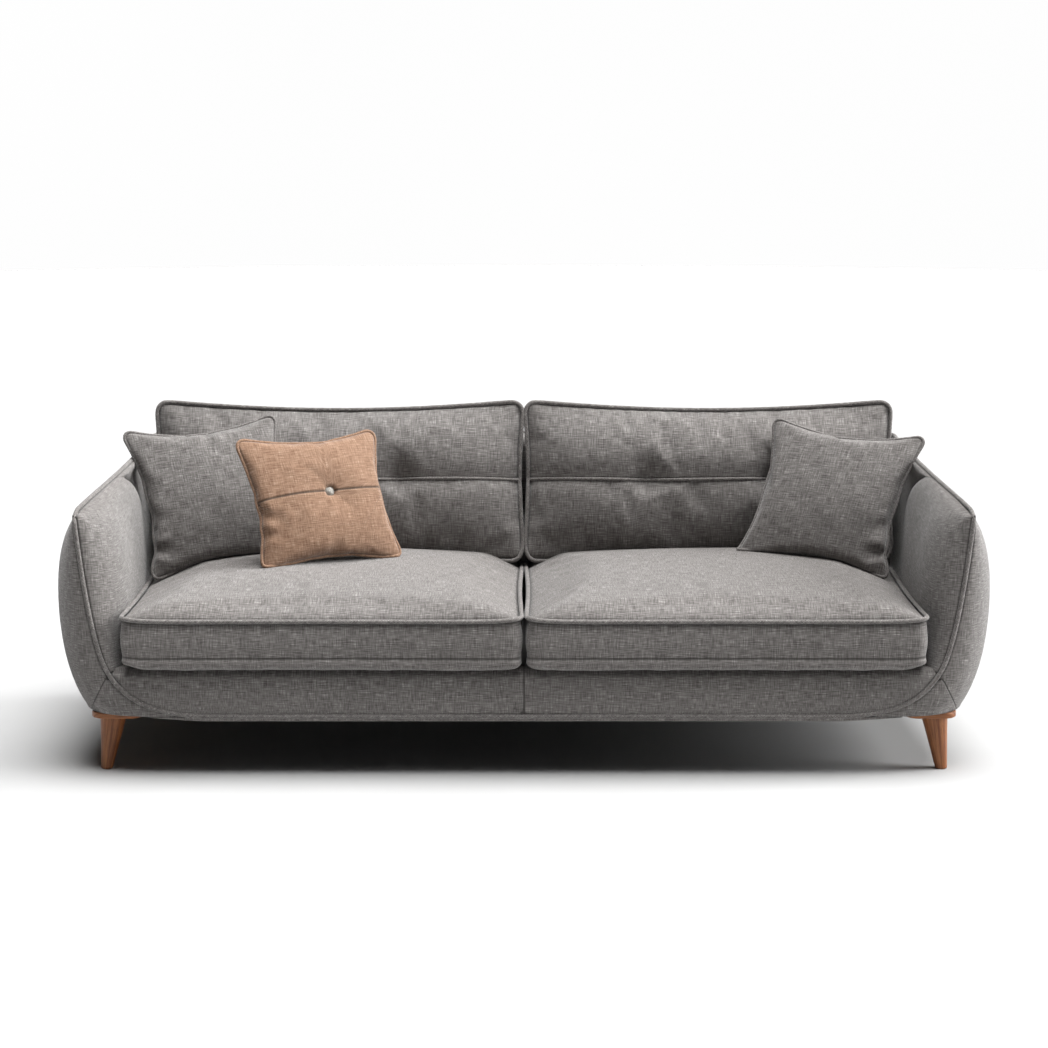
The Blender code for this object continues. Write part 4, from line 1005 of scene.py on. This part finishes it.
def back_cushion(name, side, seed):
    half_x, half_y = SEAT_HALF, BACK_TALL / 2
    form = Cushion(half_x, half_y, 0.030, 0.0105, rows=8)
    u, v, edge = form.u, form.v, form.edge()
    dip = np.where(v > 0, 0.024, 0.003) * (1 - u ** 2) ** 1.1
    x = form.x * (1 - 0.010 * (1 - v ** 2) ** 1.5 / half_x)
    y = form.y * (1 - dip * np.abs(v) ** 3 / half_y)
    dome = 0.058 * (1 - np.abs(u) ** 4) ** 0.9 * (1 - np.abs(v) ** 2.0)
    full = 0.010 * (1 - np.exp(-edge / 0.022))
    welt_y = WELT_AT - half_y + 0.002 * np.sin(x * 9 + seed)
    apart = y - welt_y
    dimples = sum(np.exp(-((x - spot * side) / 0.042) ** 2) for spot in DIMPLES)
    groove = (0.008 + 0.024 * dimples) * np.exp(-(apart / (0.020 + 0.016 * (apart > 0))) ** 2)
    soft = 0.003 * waves(x, y, seed, 0.26) * np.clip(edge / 0.08, 0, 1)
    hang = 0.030 * np.clip((-v - 0.25) / 0.75, 0, 1) ** 2
    top = np.stack([x, y - hang, 0.112 + dome + full - groove + soft], -1)
    shrink = 0.004
    rear = 0.004 + 0.006 * np.maximum(np.abs(u) ** 12, np.abs(v) ** 8)
    bottom = np.stack([x * (1 - shrink / half_x), y * (1 - shrink / half_y), rear], -1)
    rim_top, rim_low = top[form.rim], bottom[form.rim]
    outward = form.outward(rim_top[:, 0], rim_top[:, 1], 8)
    strip = []
    for share in np.linspace(0, 1, 9):
        row = rim_top + (rim_low - rim_top) * share
        row[:, :2] += outward * 0.004 * math.sin(math.pi * share)
        strip.append(row)
    points = form.gather(top, bottom, np.array(strip))
    pins = np.zeros(form.total)
    pins[form.bottom_id] = 1
    pins[form.strip_id[0]] = 0.97
    held = np.exp(-(apart / 0.006) ** 2) * 0.9
    pins[form.top_id] = np.maximum(pins[form.top_id], held)
    points = inflate(form, points, pins, 1.0, frames=16, cap=0.012, grow=0.015)
    seam = np.full(form.total, 1.0)
    beside = np.maximum(edge - PIPE_HIDES, 0)
    seam[form.top_id] = np.where(np.abs(apart) < edge, np.maximum(np.abs(apart) - 0.0035, 0), beside)
    seam[form.strip_id[0]] = 0.0
    seam[form.strip_id[1]] = 0.014 - PIPE_HIDES
    up = Vector((0, math.sin(LEAN), math.cos(LEAN)))
    matrix = Matrix(((1, 0, 0), up, (0, -up.z, up.y))).transposed().to_4x4()
    matrix.translation = Vector((side * (SEAT_IN + half_x), back_face(BACK_LOW), BACK_LOW)) + up * half_y
    out = np.column_stack([outward * 0.0026, np.full(form.around, 0.0010)])
    body = "back_cushion_" + name
    finish_cushion(form, points, "back_pad_" + name, "back_pad_piping_" + name, body, matrix, seam,
                   out=out)
    path = []
    for j in range(form.nx):
        column = points[form.top_id[:, j]]
        where = np.interp(0, apart[:, j], np.arange(form.ny))
        path.append([np.interp(where, np.arange(form.ny), column[:, k]) for k in range(3)])
    path = np.array(path)
    path[:, 2] += 0.0015
    cord = tube("back_welt_" + name, smooth_path(to_world(path, matrix), 170), 0.0040, "grey_piping")
    declare(cord, [], body)


# ---- Scatter cushions ----
BUTTON_TUCK = 0.011                  # the cloth within this radius is held down by the button
SEAM_DROPS = (0.011, 0.001)          # of the seam through the button, to the left and right rims
LAP = 0.50                           # higher than this, nothing rests on the seat cushions


def leaning(right, up, middle):
    """A scatter cushion's local frame."""
    across, rise = Vector(right).normalized(), Vector(up).normalized()
    matrix = Matrix((across, rise, across.cross(rise).normalized())).transposed().to_4x4()
    matrix.translation = middle
    return matrix


def press_creases(form, points, x, y, edge, creases):
    """Presses creases (x, y to x, y, width, depth) into the upper panel, drawing the rim in at their starts."""
    z = points[form.top_id][..., 2].copy()
    for x0, y0, x1, y1, width, deep in creases:
        way = np.array([x1 - x0, y1 - y0])
        length = np.linalg.norm(way)
        way /= length
        share = ((x - x0) * way[0] + (y - y0) * way[1]) / length
        side = -(x - x0) * way[1] + (y - y0) * way[0]
        fade = np.clip(1 - share, 0, 1) * np.clip((share + 0.35) / 0.35, 0, 1)
        fade = fade * fade * (3 - 2 * fade)
        fan = width * (0.7 + 0.9 * np.clip(share, 0, 1))
        dip = np.exp(-(side / fan) ** 2) - 0.5 * np.exp(-((np.abs(side) - 1.9 * fan) / fan) ** 2)
        z -= deep * fade * dip * (1 - np.exp(-edge / 0.016))
        near = np.exp(-((points[:, 0] - x0) ** 2 + (points[:, 1] - y0) ** 2) / (1.8 * width) ** 2)
        points[:, :2] += near[:, None] * way * deep * 0.9
    z[form.rim] = points[form.strip_id[0], 2]
    points[form.top_id, 2] = z


def scatter(name, right, up, place, wide, tall, thick, colour, seed, under, creases, hollow, button=None):
    """A cushion with hollowed sides, resting on the pieces under it. A button brings a seam across it."""
    half_x, half_y = wide / 2, tall / 2
    form = Cushion(half_x, half_y, 0.032, 0.0072)
    u, v, edge = form.u, form.v, form.edge()
    lens = (1 - u ** 2) ** 0.8 * (1 - v ** 2) ** 0.8
    height = 0.36 * thick * lens + 0.0012 + 0.002 * waves(form.x, form.y, seed, 0.09) * lens ** 0.3
    height[form.rim] = 0
    x = form.x * (1 - hollow * (1 - np.abs(v) ** 2.6) / half_x)
    y = form.y * (1 - hollow * (1 - np.abs(u) ** 2.6) / half_y)
    points = form.gather(np.stack([x, y, height], -1), np.stack([x, y, -height], -1))
    pins = np.zeros(form.total)
    pins[form.top_id[np.minimum(np.abs(u), np.abs(v)) > 0.955]] = 0.95
    if button:
        from_button = np.hypot(x - button[0], y - button[1])
        held = form.top_id[from_button < BUTTON_TUCK]
        points[held] *= (1, 1, 0.5)
        pins[held] = 1
    points = inflate(form, points, pins, 3.0, frames=22, cap=0.05, grow=0.012, stiffness=12, bending=0.25)
    points[:, 2] *= min(1.25, thick * 0.97 / np.ptp(points[:, 2]))
    press_creases(form, points, x, y, edge, creases)
    seam = np.full(form.total, 1.0)
    away = np.maximum(edge - 0.0035, 0)
    seam[form.bottom_id] = seam[form.top_id] = away
    if button:
        across = x - button[0]
        line = button[1] - np.where(across < 0, *SEAM_DROPS) * (across / half_x) ** 2
        seam[form.top_id] = np.where(np.abs(y - line) < away, y - line, away)
    low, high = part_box(name)
    middle = Vector(place)
    middle.y += (low.y + high.y) / 2
    matrix = leaning(right, up, middle)
    points = rest_on(points, matrix, under, 0.0030)
    pad, piping = (name.replace("scatter", kind) for kind in ("pillow", "pillow_piping"))
    finish_cushion(form, points, pad, piping, name, matrix, seam, colour, radius=0.0042)
    if button:
        add_button(matrix, (*button, points[form.top_id][from_button < 0.016][:, 2].mean()), name)


def rest_on(points, matrix, under, gap):
    """The points with those that would sink into the soft pieces under them raised onto their tops."""
    world = to_world(points, matrix)
    for tree in under:
        for point in world:
            if point[2] > LAP:
                continue
            place = tree.ray_cast(Vector((point[0], point[1], LAP + 0.10)), Vector((0, 0, -1)))[0]
            if place is not None and point[2] < place.z + gap:
                point[2] = place.z + gap
    turn, move = np.array(matrix.to_3x3()), np.array(matrix.translation)
    return (world - move) @ np.linalg.inv(turn).T


# (radius, height) round the button, from inside the cushion to its crown
BUTTON_PROFILE = ((0.0125, -0.006), (0.0132, -0.001), (0.0134, 0.0005), (0.0130, 0.0018), (0.0118, 0.0020),
                  (0.0112, 0.0016), (0.0106, 0.0024), (0.0090, 0.0044), (0.0060, 0.0062), (0.0028, 0.0071))


def add_button(matrix, place, body):
    x, y, z = place
    rings = [(x, y, z + height, radius) for radius, height in BUTTON_PROFILE]
    obj = lathe("pillow_button", rings, "button", 40)
    for vertex in obj.data.vertices:
        vertex.co = matrix @ vertex.co
    declare(obj, ["tan_button"], body)


def build_cushions():
    seats = []
    for (name, side), seed in zip(SIDES, (4, 11)):
        seats.append(seat_cushion(name, side, seed))
        back_cushion(name, side, seed + 1)
    scatter("scatter_left", (0.385, 0.100, 0.0325), (-0.082, 0.112, 0.347),
            (-(INNER - 0.1755), -0.018, SEAT_LOW + 0.340), 0.406, 0.402, 0.118, "grey", 31, seats[:1],
            ((0.012, 0.194, 0.002, 0.105, 0.012, 0.012), (-0.202, -0.118, -0.110, -0.135, 0.012, 0.018),
             (-0.190, -0.020, -0.110, -0.070, 0.014, 0.008), (-0.190, 0.070, -0.120, 0.010, 0.013, 0.006)),
            0.018)
    scatter("scatter_right", (0.382, -0.110, -0.0353), (0.1029, 0.112, 0.332),
            (INNER - 0.185, -0.018, SEAT_LOW + 0.336), 0.406, 0.394, 0.118, "grey", 32, seats[1:],
            ((0.202, -0.125, 0.105, -0.138, 0.012, 0.018), (0.190, -0.045, 0.100, -0.085, 0.014, 0.008),
             (0.190, 0.060, 0.130, 0.030, 0.012, 0.005), (-0.020, -0.190, -0.005, -0.110, 0.014, 0.007)),
            0.018)
    scatter("scatter_tan", (0.334, 0.165, 0.003), (-0.075, 0.100, 0.3137), (-0.520, -0.0265, 0.6143),
            0.386, 0.348, 0.104, "tan", 33, seats[:1],
            ((0.020, 0.173, 0.018, 0.115, 0.010, 0.010), (-0.183, -0.030, -0.100, -0.055, 0.012, 0.009),
             (-0.010, -0.173, 0.030, -0.085, 0.013, 0.009), (-0.183, -0.085, -0.110, -0.080, 0.011, 0.006),
             (0.183, 0.060, 0.120, 0.050, 0.010, 0.004)), 0.012, button=(0.020, 0.014))


build_cushions()


# ---- Camera, light and floor ----
CAMERA_AT = (0, -6.6, 1.72)
CAMERA_DOWN = 10.09                  # degrees below level
LENS, SENSOR = 90.05, 36             # mm
# (name, direction, strength, degrees across)
SUNS = (("overhead", (0.14, -0.05, 1.0), 6.4, 44), ("right", (0.90, 0.05, 0.42), 4.8, 36))
FLOOR_RADIUS, BACKDROP_RADIUS = 16, 15.5


def add_camera():
    lens = bpy.data.cameras.new("camera")
    camera = bpy.data.objects.new("camera", lens)
    LINKED.link(camera)
    lens.sensor_width, lens.lens = SENSOR, LENS
    camera.location = CAMERA_AT
    camera.rotation_euler = (math.radians(90 - CAMERA_DOWN), 0, 0)
    bpy.context.scene.camera = camera


def add_light():
    for name, direction, strength, spread in SUNS:
        light = bpy.data.lights.new(name, "SUN")
        light.energy, light.angle = strength, math.radians(spread)
        obj = bpy.data.objects.new(name, light)
        LINKED.link(obj)
        obj.rotation_euler = Vector(direction).to_track_quat("Z", "Y").to_euler()
    world = bpy.data.worlds.new("studio")
    bpy.context.scene.world = world
    world.use_nodes = True
    background = world.node_tree.nodes["Background"]
    background.inputs[0].default_value = (1, 0.99, 0.98, 1)
    background.inputs[1].default_value = 0.06
    bpy.context.scene.view_settings.view_transform = "Standard"


def add_stage(name, points, faces, material):
    mesh = bpy.data.meshes.new(name)
    mesh.from_pydata(points, [], faces)
    mesh.materials.append(material)
    obj = bpy.data.objects.new(name, mesh)
    LINKED.link(obj)
    return obj


def add_floor_and_backdrop():
    """A grey floor disc inside a glowing white wall, which lights nothing."""
    floor = Nodes("floor")
    grain = floor.noise(floor.stretch(floor.place(), (3, 3, 3)))
    colour = floor.mix(floor.ramp(grain, 0.3, 0.7), rgb(0.405, 0.405, 0.405), rgb(0.415, 0.415, 0.415))
    material = floor.finish(colour, 0.9, None, Specular_IOR_Level=0.0)
    ring = [(math.cos(t * math.pi / 24), math.sin(t * math.pi / 24)) for t in range(48)]
    disc = [(FLOOR_RADIUS * x, FLOOR_RADIUS * y, 0) for x, y in ring]
    add_stage("floor", disc, [tuple(range(48))], material)
    glow = Nodes("backdrop")
    cloud = glow.noise(glow.stretch(glow.place(), (0.2, 0.2, 0.2)), detail=1.0)
    colour = glow.mix(cloud, rgb(0.98, 0.98, 0.98), rgb(1.0, 1.0, 1.0))
    glow.join(colour, glow.shader.inputs["Emission Color"])
    material = glow.finish(rgb(0.0, 0.0, 0.0), 1.0, None, Emission_Strength=1.0, Specular_IOR_Level=0.0)
    wall = [(BACKDROP_RADIUS * x, BACKDROP_RADIUS * y, z) for z in (-0.1, 9.0) for x, y in ring]
    quads = [(t, (t + 1) % 48, (t + 1) % 48 + 48, t + 48) for t in range(48)]
    backdrop = add_stage("backdrop", wall, quads, material)
    backdrop.visible_shadow = backdrop.visible_diffuse = False


add_camera()
add_light()
add_floor_and_backdrop()
